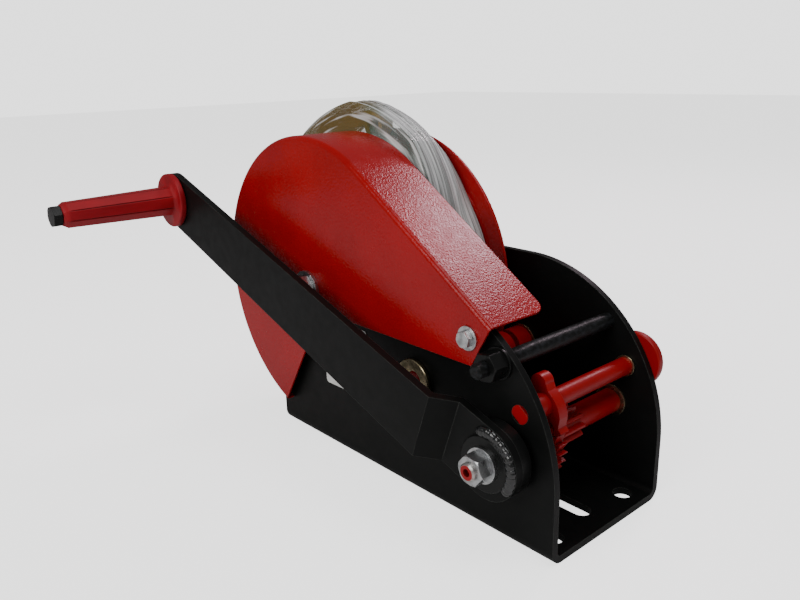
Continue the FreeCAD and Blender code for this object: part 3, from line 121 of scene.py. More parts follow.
# --- surfaces: one Principled shader and the nodes that vary it ------------------------
class Surface:
    """A Principled material with short ways to add the nodes that vary it over a piece."""

    def __init__(self, name, colour, roughness, metallic=0.0, **sockets):
        self.material = bpy.data.materials.new(name)
        self.material.use_nodes = True
        self.tree = self.material.node_tree
        self.shader = self.tree.nodes["Principled BSDF"]
        self.colour = tuple(colour)
        self.plug(self.shader, {"Base Color": (*self.colour, 1.0), "Roughness": roughness,
                                "Metallic": metallic, **sockets})
        coordinates = self.tree.nodes.new("ShaderNodeTexCoord")
        self.place = coordinates.outputs["Object"]
        self.laid = coordinates.outputs["UV"]

    def plug(self, node, inputs):
        for key, value in inputs.items():
            socket = node.inputs[key]
            if isinstance(value, bpy.types.NodeSocket):
                self.tree.links.new(value, socket)
            else:
                socket.default_value = value

    def add(self, kind, inputs, output=0, **settings):
        node = self.tree.nodes.new(kind)
        for key, value in settings.items():
            setattr(node, key, value)
        self.plug(node, inputs)
        return node.outputs[output]

    def noise(self, size, detail=2.0, stretch=(1.0, 1.0, 1.0), shift=0.0, on=None):
        """Cloudy value from 0 to 1 whose blobs are about size wide."""
        place = self.add("ShaderNodeMapping", {
            "Vector": on or self.place, "Scale": stretch, "Location": (shift, shift, shift)})
        return self.add("ShaderNodeTexNoise", {
            "Vector": place, "Scale": 1.0 / size, "Detail": detail})

    def between(self, value, low, high, at_low, at_high):
        """value's run from low to high, clamped and carried to at_low and at_high."""
        return self.add("ShaderNodeMapRange", {
            "Value": value, "From Min": low, "From Max": high, "To Min": at_low, "To Max": at_high})

    def maths(self, kind, a, b):
        return self.add("ShaderNodeMath", {0: a, 1: b}, operation=kind)

    def mixed(self, share, first, second):
        """Colour that goes from first to second as share goes from 0 to 1."""
        ends = [c if isinstance(c, bpy.types.NodeSocket) else (*c, 1.0) for c in (first, second)]
        return self.add("ShaderNodeMix", {0: share, 6: ends[0], 7: ends[1]}, 2, data_type="RGBA")

    def soft_edges(self, width):
        """Normal that rounds sharp edges, and a mask that is 1 on them."""
        rounded = self.add("ShaderNodeBevel", {"Radius": width}, samples=4)
        flat = self.add("ShaderNodeNewGeometry", {}, 1)
        agree = self.add("ShaderNodeVectorMath", {0: rounded, 1: flat}, 1, operation="DOT_PRODUCT")
        return rounded, self.between(agree, 0.985, 0.90, 0.0, 1.0)

    def relief(self, height, depth, normal=None):
        """Bump whose full height is depth metres; returns the normal."""
        inputs = {"Height": height, "Distance": depth, "Strength": 1.0}
        if normal:
            inputs["Normal"] = normal
        return self.add("ShaderNodeBump", inputs)

    def wear(self, colour=None, roughness=None, normal=None):
        named = {"Base Color": colour, "Roughness": roughness, "Normal": normal}
        self.plug(self.shader, {key: value for key, value in named.items() if value})
        return self.material


def shade(colour, factor):
    return tuple(min(1.0, c * factor) for c in colour)


def powder_coat(name, colour, roughness, depth, edge_wear_and_highlight, grain, shine=0.5):
    """Sprayed coat: fine orange peel, faint clouding, and an edge tint that is paint worn thin on the edges
    and, where the tint is lighter than the coat, a painted highlight as well.
    """
    coat = Surface(name, colour, roughness, **{"Specular IOR Level": shine})
    normal, edges = coat.soft_edges(0.7 * MM)
    cloud = coat.noise(60 * MM, 3.0)
    scuff = coat.noise(9 * MM, 5.0, shift=3.1)
    peel = coat.noise(grain, 1.5)
    body = coat.mixed(coat.between(cloud, 0.35, 0.65, 0.0, 1.0), shade(colour, 0.90), shade(colour, 1.10))
    # Edge tint: worn thin paint, and where it is lighter than the coat, also a painted highlight on the
    # edges.
    edge_wear_and_highlight_mask = coat.maths("MULTIPLY", edges, coat.between(scuff, 0.30, 0.62, 0.15, 1.0))
    tone = coat.mixed(edge_wear_and_highlight_mask, body, edge_wear_and_highlight)
    gloss = coat.between(scuff, 0.3, 0.7, roughness - 0.05, roughness + 0.07)
    return coat.wear(tone, gloss, coat.relief(peel, depth, normal))


def plating(name, colour, roughness, tarnish):
    """Plated steel: faint tool marks, tarnish in soft patches, and edges painted lighter, partly rubbed
    plating and partly a painted highlight.
    """
    skin = Surface(name, colour, roughness, metallic=1.0)
    normal, edges = skin.soft_edges(0.4 * MM)
    patch = skin.noise(5 * MM, 4.0)
    marks = skin.noise(0.5 * MM, 2.0, stretch=(1.0, 0.15, 1.0))
    tone = skin.mixed(skin.between(patch, 0.42, 0.66, 0.0, 1.0), colour, tarnish)
    # Edges a quarter lighter than the plating: partly rubbed plating, partly a painted highlight.
    tone = skin.mixed(edges, tone, shade(colour, 1.25))
    gloss = skin.between(patch, 0.3, 0.7, roughness - 0.06, roughness + 0.12)
    return skin.wear(tone, gloss, skin.relief(marks, 0.02 * MM, normal))


def paint_nodes(material, *names):
    for name in names:
        mesh = NODES[name].data
        mesh.materials.clear()
        mesh.materials.append(material)


# --- meshes worked out as arrays ------------------------------------------------------
def grid_faces(rows, columns, round_rows, round_columns):
    """Quads of a grid of rows x columns points, closed round either way if asked."""
    i = np.arange(rows if round_rows else rows - 1)
    j = np.arange(columns if round_columns else columns - 1)
    i, j = (a.ravel() for a in np.meshgrid(i, j, indexing="ij"))
    above, right = (i + 1) % rows, (j + 1) % columns
    return np.stack([i * columns + j, above * columns + j, above * columns + right, i * columns + right], 1)


def build_mesh(name, points, faces, material, laid=None):
    """Object from an array of points and an array of quads, smooth all over."""
    mesh = bpy.data.meshes.new(name)
    mesh.vertices.add(len(points))
    mesh.vertices.foreach_set("co", np.asarray(points, np.float32).ravel())
    mesh.loops.add(faces.size)
    mesh.loops.foreach_set("vertex_index", faces.ravel().astype(np.int32))
    mesh.polygons.add(len(faces))
    mesh.polygons.foreach_set("loop_start", np.arange(0, faces.size, faces.shape[1], dtype=np.int32))
    mesh.polygons.foreach_set("use_smooth", np.ones(len(faces), bool))
    mesh.update(calc_edges=True)
    if laid is not None:
        layer = mesh.uv_layers.new(name="laid")
        layer.data.foreach_set("uv", laid[faces.ravel()].astype(np.float32).ravel())
    mesh.materials.append(material)
    mesh.validate()
    piece = bpy.data.objects.new(name, mesh)
    bpy.context.scene.collection.objects.link(piece)
    return piece


def sideways(line, beside):
    """The two unit vectors square to a line at each of its points.

    The first lies as near as it can to the vector beside, and the second is square to it.
    """
    along = np.gradient(line, axis=0)
    along /= np.linalg.norm(along, axis=1, keepdims=True)
    first = beside - along * (along @ beside)[:, None]
    first /= np.linalg.norm(first, axis=1, keepdims=True)
    return first, np.cross(along, first)


def laid_strands(line, beside, radius, lay, count, sides):
    """Rope of strands laid round a centre line, each open at both ends.

    Strand k runs at two thirds of the radius, at the angle 2 pi (s / lay + k / count) for
    length s along the line; its own round section has a little over a third of the radius.
    A straight heart strand fills the middle. Returns points, quads and lengthwise UVs.
    """
    first, second = sideways(line, beside)
    pressed = 1.06  # the laid strands are a little thick, so that they touch each other
    s = np.concatenate([[0.0], np.cumsum(np.linalg.norm(np.diff(line, axis=0), axis=1))])
    k = np.arange(count + 1)
    orbit = np.where(k < count, 2 * radius / 3, 0.0)[:, None, None]
    thick = np.where(k < count, radius / 3 * pressed, radius / 3)[:, None, None]
    turn = (2 * math.pi * (s[None, :] / lay + k[:, None] / count))[..., None]
    round_it = 2 * math.pi * np.arange(sides) / sides + turn
    a = (orbit * np.cos(turn) + thick * np.cos(round_it))[..., None]
    b = (orbit * np.sin(turn) + thick * np.sin(round_it))[..., None]
    points = line[None, :, None] + a * first[None, :, None] + b * second[None, :, None]
    laid = np.stack([
        np.broadcast_to(s[None, :, None], round_it.shape),
        np.broadcast_to(2 * math.pi * radius / 3 * np.arange(sides) / sides, round_it.shape)], -1)
    one = grid_faces(len(line), sides, False, True)
    faces = (one[None] + (k * len(line) * sides)[:, None, None]).reshape(-1, 4)
    return points.reshape(-1, 3), faces, laid.reshape(-1, 2)


# --- paints and plating on the metal frame --------------------------------------------
class WINCH_OT_paint_black(bpy.types.Operator):
    """Coats the channel frame, crank and tie rod in satin black"""

    bl_idname = "winch.paint_black"
    bl_label = "Paint black steel"

    def execute(self, context):
        black = colours().black
        # Pale grey-green edge tint: worn thin paint, and a painted highlight on the lit edges.
        edge_wear_and_highlight = (0.085, 0.092, 0.085)
        grain = sizes().coat_grain
        coat = powder_coat("black_powder_coat", black, 0.42, 0.030 * MM, edge_wear_and_highlight, grain, 0.14)
        paint_nodes(coat, "frame_channel", "crank_arm")
        # shade(black, 3.0) on the hub's edges is a painted highlight as well as worn paint.
        hub = powder_coat("black_hub_coat", black, 0.30, 0.040 * MM, shade(black, 3.0), 2.4 * grain, 0.25)
        paint_nodes(hub, "crank_hub", "hub_nose", "tie_rod_nut", "tie_rod_washer", "grip_nut", "grip_bolt")
        bar = Surface("black_hammered_bar", black, 0.34, **{"Specular IOR Level": 0.20})
        pits = bar.noise(2.6 * MM, 3.0, stretch=(1.0, 0.6, 1.0))
        scale = bar.noise(0.8 * MM, 2.0)
        height = bar.maths("ADD", pits, bar.maths("MULTIPLY", scale, 0.25))
        tone = bar.mixed(bar.between(pits, 0.45, 0.70, 0.0, 1.0), black, (0.020, 0.022, 0.025))
        gloss = bar.between(pits, 0.3, 0.7, 0.28, 0.50)
        paint_nodes(bar.wear(tone, gloss, bar.relief(height, 0.35 * MM)), "tie_rod")
        return {"FINISHED"}


def shaft_finish(red):
    """Dipped red paint, worn to bare steel on the rim of the threaded end, round a centre hole drawn as a
    dark disc of painted shade.
    """
    rim_start, rim_full = 4.7 * MM, 5.1 * MM
    hole_shade_full, hole_shade_end = 2.2 * MM, 2.9 * MM
    nut_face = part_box("hub_nut")[0].y
    axis = (SHAFT_X, 0.0, SHAFT_Z)
    coat = Surface("red_shaft_paint", red, 0.36, **{"Specular IOR Level": 0.30})
    flat = coat.add("ShaderNodeMapping", {"Vector": coat.place, "Scale": (1.0, 0.0, 1.0)})
    radial = coat.add("ShaderNodeVectorMath", {0: flat, 1: axis}, 1, operation="DISTANCE")
    along = coat.add("ShaderNodeSeparateXYZ", {"Vector": coat.place}, 1)
    end = coat.between(along, nut_face, nut_face + 0.3 * MM, 1.0, 0.0)
    worn = coat.noise(1.5 * MM, 3.0)
    rim = coat.maths("MULTIPLY", coat.between(radial, rim_start, rim_full, 0.0, 1.0), end)
    rim = coat.maths("MULTIPLY", rim, coat.between(worn, 0.30, 0.45, 0.4, 1.0))
    # Painted shade: a dark disc stands in for the depth of the centre hole.
    hole_shade = coat.between(radial, hole_shade_full, hole_shade_end, 1.0, 0.0)
    tone = coat.mixed(coat.maths("MULTIPLY", hole_shade, end), red, shade(red, 0.18))
    tone = coat.mixed(rim, tone, (0.55, 0.54, 0.52))
    coat.plug(coat.shader, {"Metallic": rim})
    return coat.wear(tone, coat.between(worn, 0.3, 0.7, 0.28, 0.44), coat.relief(worn, 0.05 * MM))


class WINCH_OT_paint_red(bpy.types.Operator):
    """Coats the gear guard, the drum, the shafts and the pawl in red"""

    bl_idname = "winch.paint_red"
    bl_label = "Paint red steel"

    def execute(self, context):
        red = colours().red
        grain = sizes().coat_grain
        # shade(red, 1.7) on the guard's edges is a painted highlight as well as worn paint.
        guard = powder_coat("red_powder_coat", red, 0.22, 0.20 * MM, shade(red, 1.7), grain, 0.30)
        paint_nodes(guard, "gear_cover", "near_flange", "far_flange", "drum_barrel", "drum_hubs",
                    "cover_spacers", "rope_clamp", "gear_rivets")
        deep = shade(red, 0.95)
        dipped = powder_coat(
            "red_dipped_paint", deep, 0.36, 0.045 * MM, shade(red, 0.7), 3 * grain, 0.30)
        paint_nodes(shaft_finish(deep), "drive_shaft")
        paint_nodes(dipped, "drive_pinion", "counter_shaft", "counter_pinion",
                    "ratchet_wheel", "pawl", "pawl_rod", "pawl_sleeve", "release_lever")
        return {"FINISHED"}


class WINCH_OT_plate_metal(bpy.types.Operator):
    """Plates the fasteners in bright zinc and the bushes in yellow zinc"""

    bl_idname = "winch.plate_metal"
    bl_label = "Plate bolts and bushes"

    def execute(self, context):
        zinc = colours().zinc
        bright = plating("bright_zinc", zinc, 0.30, shade(zinc, 0.62))
        paint_nodes(bright, "cover_bolt", "cover_washer", "axle_bolt", "axle_washers", "axle_nut",
                    "axle_sleeve", "clamp_screws", "hub_nut", "hub_washer", "counter_snap_ring",
                    "drive_snap_ring")
        gold = plating("yellow_zinc", colours().gold, 0.30, (0.20, 0.17, 0.10))
        paint_nodes(gold, "near_bushes", "far_bushes", "drum_bushes", "pawl_collar")
        return {"FINISHED"}


class WINCH_OT_finish_gears(bpy.types.Operator):
    """Gives the gears oiled steel and the brake discs a pressed fibre lining"""

    bl_idname = "winch.finish_gears"
    bl_label = "Finish gears and brake"

    def execute(self, context):
        bare = colours().gear
        steel = Surface("oiled_gear_steel", bare, 0.38, metallic=0.9)
        normal, edges = steel.soft_edges(0.3 * MM)
        grease = steel.noise(11 * MM, 4.0)
        lathe = steel.noise(0.7 * MM, 2.0)
        tone = steel.mixed(steel.between(grease, 0.45, 0.62, 0.0, 1.0), bare, (0.05, 0.04, 0.03))
        # Edges painted light grey: partly worn bright steel, partly a painted highlight.
        tone = steel.mixed(edges, tone, (0.45, 0.44, 0.42))
        gloss = steel.between(grease, 0.4, 0.65, 0.44, 0.20)
        finish = steel.wear(tone, gloss, steel.relief(lathe, 0.03 * MM, normal))
        paint_nodes(finish, "drum_gear", "counter_gear")
        brown = (0.075, 0.052, 0.038)
        fibre = Surface("friction_lining", brown, 0.85)
        fleck = fibre.noise(0.9 * MM, 4.0)
        tone = fibre.mixed(fibre.between(fleck, 0.48, 0.68, 0.0, 1.0), brown, (0.26, 0.18, 0.09))
        paint_nodes(fibre.wear(tone, None, fibre.relief(fleck, 0.15 * MM)), "friction_discs")
        return {"FINISHED"}


def grip_surface():
    """Grip turned round its bolt: points, quads, and UVs whose first value is 1 in a groove, the mask of
    the grooves' painted shade.

    The radius is the profile's times 1 / cos of the angle off the nearest flat's middle, up
    to 7.2 per cent, less a groove along each edge that falls off as exp(-(angle / width)^2)
    and fades out at both ends of the body.
    """
    low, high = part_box("crank_grip")
    middle_x, middle_z = disc_axis("crank_grip")
    bore, tip, shoulder = 5.05 * MM, 7.6 * MM, 8.4 * MM
    thin_end, thick_end = 10.4 * MM, 12.4 * MM
    flange = (high.x - low.x) / 2
    round_over = 1.3 * MM
    groove_depth, groove_fade, groove_width = 0.75 * MM, 4 * MM, 0.030
    seam = high.y - 5.5 * MM
    body_start, body_end = low.y + 4.0 * MM, seam - 0.2 * MM
    body = np.linspace(body_start, body_end, 60)
    taper = np.interp(body, [body_start, seam], [thin_end, thick_end])
    corner = np.linspace(0.0, math.pi / 2, 6)
    # Profile from the bore at the tip, out along the body and the flange, and back.
    y = np.concatenate([
        [low.y, low.y, low.y + 0.4 * MM], body, seam + round_over * (1 - np.cos(corner)),
        high.y - round_over * (1 - np.sin(corner)), [high.y]])
    r = np.concatenate([
        [bore, tip, shoulder], taper, flange - round_over * (1 - np.sin(corner)),
        flange - round_over * (1 - np.cos(corner)), [bore]])
    past_body = 3 + len(body)
    to_end = np.minimum(body - body_start, body_end - body)
    cut = np.zeros(len(y))
    cut[3:past_body] = np.clip(to_end / groove_fade, 0.0, 1.0) ** 0.5
    turn = 2 * math.pi * np.arange(256) / 256
    flat = 2 * math.pi / 8
    off = (turn + flat / 2) % flat - flat / 2
    groove = np.exp(-(((np.abs(off) - flat / 2) / groove_width) ** 2))
    swell = np.ones((len(y), len(turn)))
    swell[1:past_body] = np.minimum(1.0 / np.cos(off), 1.072)
    radius = r[:, None] * swell - groove_depth * cut[:, None] * groove
    along = y[:, None] + 0 * radius
    points = np.stack([middle_x + radius * np.cos(turn), along, middle_z + radius * np.sin(turn)], -1)
    # The first UV value marks the grooves, where shade is painted.
    laid = np.stack([cut[:, None] * groove, along], -1)
    return points.reshape(-1, 3), grid_faces(len(y), len(turn), True, True), laid.reshape(-1, 2)


def grip_finish():
    """Moulded plastic with faint flow clouds, and painted shade in the grooves."""
    red = colours().grip
    skin = Surface("red_moulded_plastic", red, 0.42, **{"Specular IOR Level": 0.22})
    flow = skin.noise(16 * MM, 3.0, stretch=(1.0, 0.3, 1.0))
    grain = skin.noise(0.9 * MM, 2.0)
    groove_shade = skin.add("ShaderNodeSeparateXYZ", {"Vector": skin.laid}, 0)
    tone = skin.mixed(skin.between(flow, 0.4, 0.65, 0.0, 1.0), shade(red, 0.82), shade(red, 1.15))
    # Painted shade: the grooves are darkened to an eighth of the red.
    tone = skin.mixed(skin.between(groove_shade, 0.25, 0.8, 0.0, 0.9), tone, shade(red, 0.12))
    gloss = skin.between(flow, 0.3, 0.7, 0.34, 0.52)
    return skin.wear(tone, gloss, skin.relief(grain, 0.03 * MM))


class WINCH_OT_finish_grip(bpy.types.Operator):
    """Moulds the crank grip: a tapered body of eight flats with a groove along each edge"""

    bl_idname = "winch.finish_grip"
    bl_label = "Mould the grip"

    def execute(self, context):
        points, faces, laid = grip_surface()
        grip = build_mesh("moulded_grip", points, faces, grip_finish(), laid)
        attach(grip, "grip")
        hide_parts("crank_grip")
        return {"FINISHED"}


class WINCH_OT_fit_blank_plate(bpy.types.Operator):
    """Gives the blank plate its white satin face"""

    bl_idname = "winch.fit_blank_plate"
    bl_label = "Fit the blank plate"

    def execute(self, context):
        white = colours().label
        face = Surface("white_satin_plate", white, 0.42)
        smudge = face.noise(14 * MM, 4.0)
        ripple = face.noise(8 * MM, 1.0, shift=1.7)
        tone = face.mixed(face.between(smudge, 0.45, 0.75, 0.0, 1.0), white, shade(white, 0.80))
        gloss = face.between(smudge, 0.3, 0.7, 0.34, 0.52)
        paint_nodes(face.wear(tone, gloss, face.relief(ripple, 0.15 * MM)), "blank_plate")
        return {"FINISHED"}


# --- the rope ---------------------------------------------------------------------------
HOOK_LEAN = math.radians(99.0)
HOOK_SEAT = 101.5 * MM
HOOK_EYE = (-32.0 * MM, 18.0 * MM)
HOOK_MID_Y = -1.5 * MM
ROPE_FLANGE_GAP = 0.4 * MM
STUB_BEND = 8 * MM
STUB_LENGTH = 7.5 * MM
FERRULE_FROM_EYE = 36 * MM
EYE_BEND = 9 * MM
EYE_ROPE_RADIUS = 3 * MM
EYE_LAY = 26 * MM
EYE_OPENING = 0.30


def hook_point(u, w):
    """X and Z of a point on the hook: u along the rope, w outwards from the pack."""
    out = HOOK_SEAT + w
    return (DRUM_X - u * math.sin(HOOK_LEAN) + out * math.cos(HOOK_LEAN),
            DRUM_Z + u * math.cos(HOOK_LEAN) + out * math.sin(HOOK_LEAN))


def tail_facts():
    """Angle where the rope leaves the pack, the free length from there to the hook's eye
    and the unit vector along it."""
    x, z = hook_point(*HOOK_EYE)
    span = math.hypot(x - DRUM_X, z - DRUM_Z)
    lift = math.acos(sizes().rope_line / span)
    leave = math.atan2(z - DRUM_Z, x - DRUM_X) - lift
    return leave, span * math.sin(lift), np.array([-math.sin(leave), 0.0, math.cos(leave)])


def rope_line(step):
    """Points of the outer layer's centre line, step metres apart.

    A short stub rises out of the lower layers, curves over, winds round the drum as a
    helix from the far flange towards the middle and runs off straight to the ferrule.
    """
    leave, free, ahead = tail_facts()
    radius = sizes().rope_line
    swept = 2 * math.pi * sizes().rope_turns
    start_y = FAR_FACE_Y - ROPE_FLANGE_GAP - sizes().rope_diameter / 2
    turn = np.linspace(leave - swept, leave, int(swept * radius / step))
    share = (turn - turn[0]) / swept
    wound = np.stack([
        DRUM_X + radius * np.cos(turn),
        start_y + (HOOK_MID_Y - start_y) * share,
        DRUM_Z + radius * np.sin(turn)], 1)
    back = np.array([math.sin(turn[0]), 0.0, -math.cos(turn[0])])
    out = np.array([math.cos(turn[0]), 0.0, math.sin(turn[0])])
    corner = wound[0] + back * STUB_BEND
    t = np.linspace(0.0, 1.0, 8)[:-1, None]
    rise = corner - out * STUB_BEND
    dip = rise * (1 - t) ** 2 + 2 * corner * t * (1 - t) + wound[0] * t**2
    stub = rise - out * STUB_LENGTH * np.linspace(1.0, 0.0, 6)[:-1, None]
    reach = free - FERRULE_FROM_EYE
    tail = wound[-1] + ahead * np.linspace(0.0, reach, int(reach / step))[1:, None]
    return np.concatenate([stub, dip, wound, tail])


def strand_finish():
    """Twisted wire: fine lines that cross each strand at a slant, painted shade in the gaps between the
    wires, and a green guard coat.
    """
    green = colours().rope
    wire = Surface("laid_wire_strand", green, 0.36, metallic=0.35)
    slant = wire.add("ShaderNodeMapping", {"Vector": wire.laid, "Rotation": (0.0, 0.0, 0.32)})
    lines = wire.add("ShaderNodeTexWave", {
        "Vector": slant, "Scale": 420.0, "Distortion": 0.6, "Detail": 1.0}, 1, bands_direction="Y")
    patch = wire.noise(6 * MM, 3.0)
    tone = wire.mixed(wire.between(patch, 0.40, 0.62, 0.0, 1.0), green, (0.50, 0.56, 0.52))
    # Painted shade: the gaps between the wires are darkened along the lines.
    tone = wire.mixed(wire.between(lines, 0.0, 0.35, 0.55, 0.0), tone, shade(green, 0.35))
    return wire.wear(tone, None, wire.relief(lines, 0.12 * MM))


def add_rope(name, line, beside, radius, lay, material):
    """Six-strand rope along a line, riding on the drum."""
    points, faces, laid = laid_strands(line, beside, radius, lay, 6, 8)
    rope = build_mesh(name, points, faces, material, laid)
    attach(rope, "drum")
    return rope


class WINCH_OT_wind_rope(bpy.types.Operator):
    """Winds the outer layer of stranded wire rope and runs its tail to the ferrule"""

    bl_idname = "winch.wind_rope"
    bl_label = "Wind the rope"

    def execute(self, context):
        wire = strand_finish()
        size = sizes()
        across = np.array([0.0, 1.0, 0.0])
        rope = add_rope(
            "wound_rope", rope_line(2.6 * MM), across, size.rope_diameter / 2, size.rope_lay, wire)
        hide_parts("wire_rope")
        _, _, ahead = tail_facts()
        x, z = hook_point(*HOOK_EYE)
        down = -ahead
        middle = np.array([x, HOOK_MID_Y, z]) + down * EYE_BEND
        turn = np.linspace(EYE_OPENING, 2 * math.pi - EYE_OPENING, 60)[:, None]
        loop = middle + EYE_BEND * (np.cos(turn) * down + np.sin(turn) * across)
        eye = add_rope("rope_eye", loop, np.cross(down, across), EYE_ROPE_RADIUS, EYE_LAY, wire)
        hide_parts("rope_loop")
        return {"FINISHED"}


def core_surface():
    """Lower layers as one body turned round the drum: points, quads and lengthwise UVs.

    The section is a row of half rounds side by side, then back along the barrel. Half round
    k swells and shrinks with 3 (fold + 2 pi s / lay + k), which gives it six strands.
    """
    size = sizes()
    radius = size.rope_diameter / 2
    low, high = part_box("rope_core")
    outer, inner = (high.x - low.x) / 2, 38.02 * MM
    turns = int((high.y - low.y) / size.rope_diameter)
    pitch = (high.y - low.y) / turns
    fold = np.linspace(-math.pi / 2, math.pi / 2, 9)
    k = np.arange(turns)[:, None]
    turn = 2 * math.pi * np.arange(480) / 480
    s = turn * outer
    strand = np.abs(np.cos(3 * (fold[None, None] + 2 * math.pi * s[:, None, None] / size.rope_lay + k)))
    swell = 1.0 - 0.16 * (1.0 - strand)
    y = low.y + pitch * (k + 0.5) + pitch / 2 * np.sin(fold) * np.ones_like(swell)
    r = outer - radius + radius * np.cos(fold) * swell
    y, r = y.reshape(len(turn), -1), r.reshape(len(turn), -1)
    r = np.concatenate([r, np.full((len(turn), 2), inner)], 1)
    y = np.concatenate([y, np.tile([high.y, low.y], (len(turn), 1))], 1)
    points = np.stack([DRUM_X + r * np.cos(turn)[:, None], y, DRUM_Z + r * np.sin(turn)[:, None]], -1)
    laid = np.stack([np.broadcast_to(s[:, None], r.shape), y], -1)
    return points.reshape(-1, 3), grid_faces(len(turn), r.shape[1], True, True), laid.reshape(-1, 2)


class WINCH_OT_wind_core(bpy.types.Operator):
    """Lays the lower layers of rope as one wound body on the barrel"""

    bl_idname = "winch.wind_core"
    bl_label = "Wind the lower layers"

    def execute(self, context):
        points, faces, laid = core_surface()
        core = build_mesh("lower_rope_layers", points, faces, strand_finish(), laid)
        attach(core, "drum")
        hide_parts("rope_core")
        return {"FINISHED"}


class WINCH_OT_finish_hook(bpy.types.Operator):
    """Enamels the stowed cargo hook and gives its ferrule pressed aluminium"""

    bl_idname = "winch.finish_hook"
    bl_label = "Finish the hook"

    def execute(self, context):
        yellow = colours().hook
        enamel = powder_coat("yellow_enamel", yellow, 0.32, 0.05 * MM, (0.30, 0.22, 0.12), 3 * MM)
        paint_nodes(enamel, "cargo_hook")
        paint_nodes(plating("latch_zinc", (0.60, 0.60, 0.60), 0.30, (0.40, 0.38, 0.34)), "hook_latch")
        aluminium = (0.70, 0.71, 0.72)
        sleeve = Surface("pressed_aluminium", aluminium, 0.38, metallic=1.0)
        dull = sleeve.noise(3 * MM, 4.0)
        tone = sleeve.mixed(sleeve.between(dull, 0.4, 0.65, 0.0, 1.0), aluminium, (0.45, 0.46, 0.47))
        paint_nodes(sleeve.wear(tone, None, sleeve.relief(dull, 0.12 * MM)), "rope_ferrule")
        return {"FINISHED"}


# --- the film ---------------------------------------------------------------------------
HUMP_START_Y = -14.0 * MM
HUMP_END_Y = 32.6 * MM
HUMP_FOOT = 98.0 * MM
HUMP_STATIONS = np.radians([30.0, 62.0, 95.0, 128.0, 160.0])
HUMP_SHARES = np.array([-0.14, 0.0, 0.1, 0.5, 1.0])
HUMP_HEIGHTS = np.array([
    [98.0, 98.0, 98.0],
    [112.5, 120.0, 117.0],
    [128.6, 140.0, 136.5],
    [126.5, 140.0, 136.0],
    [112.5, 128.0, 122.0]]) * MM
HUMP_TAUT = 0.25
FILM_BLEND = 1.2 * MM
FILM_UV_RADIUS = 0.1
CREST_START, CREST_END = 1.36, 1.56


def eased(x, at, heights):
    """Cubic through the points (at, heights) that never overshoots them: each inner slope is
    the harmonic mean of the slopes on its two sides, or nothing at a crest."""
    rise = np.diff(heights, axis=0) / np.diff(at)[:, None]
    product, total = rise[:-1] * rise[1:], rise[:-1] + rise[1:]
    inner = np.where(product > 0, 2 * product / np.where(product > 0, total, 1.0), 0.0)
    slope = np.concatenate([rise[:1], inner, rise[-1:]])
    k = np.clip(np.searchsorted(at, x) - 1, 0, len(at) - 2)
    step = (at[k + 1] - at[k])[..., None]
    t = np.clip((x - at[k])[..., None] / step, 0.0, 1.0)
    return (heights[k] * (1 + 2 * t) * (1 - t) ** 2 + heights[k + 1] * t * t * (3 - 2 * t)
            + step * (slope[k] * t * (1 - t) ** 2 - slope[k + 1] * t * t * (1 - t)))


def chord(turn, r0, t0, r1, t1):
    """Radius at angle turn of the straight line between two points in polar form."""
    return r0 * r1 * np.sin(t1 - t0) / (r0 * np.sin(turn - t0) + r1 * np.sin(t1 - turn))


def film_radius(turn, y):
    """Radius of the film: the larger, blended smoothly, of a plain band round the rope and a
    tent over the hook. The tent's three crest heights rise and fall across the drum, and
    between them it lies most of the way from a taut chord to a rounded dome."""
    share = (y[0] - HUMP_START_Y) / (HUMP_END_Y - HUMP_START_Y)
    crest = eased(share, HUMP_SHARES, HUMP_HEIGHTS).T
    foot = np.full((1, len(share)), HUMP_FOOT)
    over = (turn[:, 0] > HUMP_STATIONS[0]) & (turn[:, 0] < HUMP_STATIONS[-1])
    heights = np.concatenate([foot, crest, foot])
    at = np.clip(turn, HUMP_STATIONS[0], HUMP_STATIONS[-1])
    k = np.clip(np.searchsorted(HUMP_STATIONS, at[:, 0]) - 1, 0, len(HUMP_STATIONS) - 2)
    station = HUMP_STATIONS[:, None]
    taut = chord(at, heights[k], station[k], heights[k + 1], station[k + 1])
    dome = HUMP_TAUT * taut + (1 - HUMP_TAUT) * eased(turn[:, 0], HUMP_STATIONS, heights)
    dome = np.where(over[:, None], dome, HUMP_FOOT)
    band = sizes().film_radius
    tent = FILM_BLEND * np.logaddexp(0.0, (dome - band) / FILM_BLEND)
    return band + tent - FILM_BLEND * np.logaddexp(0.0, (HUMP_FOOT - band) / FILM_BLEND)


def fold_height(turn, y):
    """Tension folds: narrow ridges that run round the drum, each a bell curve across it whose
    middle wanders as a sine of the turn and whose height fades in and out with another."""
    dice = np.random.default_rng(7)
    count = 26
    home = dice.uniform(-0.026, 0.034, count)
    wander = dice.uniform(0.5, 4.0, count) * MM
    phase = dice.uniform(0, 2 * math.pi, count)
    wide = dice.uniform(0.5, 1.6, count) * MM
    tall = dice.uniform(0.25, 1.0, count)
    wave = dice.integers(1, 4, count)
    total = np.zeros(np.broadcast(turn, y).shape)
    for k in range(count):
        path = home[k] + wander[k] * np.sin(wave[k] * turn + phase[k])
        fade = 0.5 + 0.5 * np.sin(turn * dice.integers(1, 4) + phase[k] * 2)
        total += tall[k] * fade * np.exp(-((y - path) / wide[k]) ** 2)
    return sizes().fold_height * np.minimum(total, 1.0)


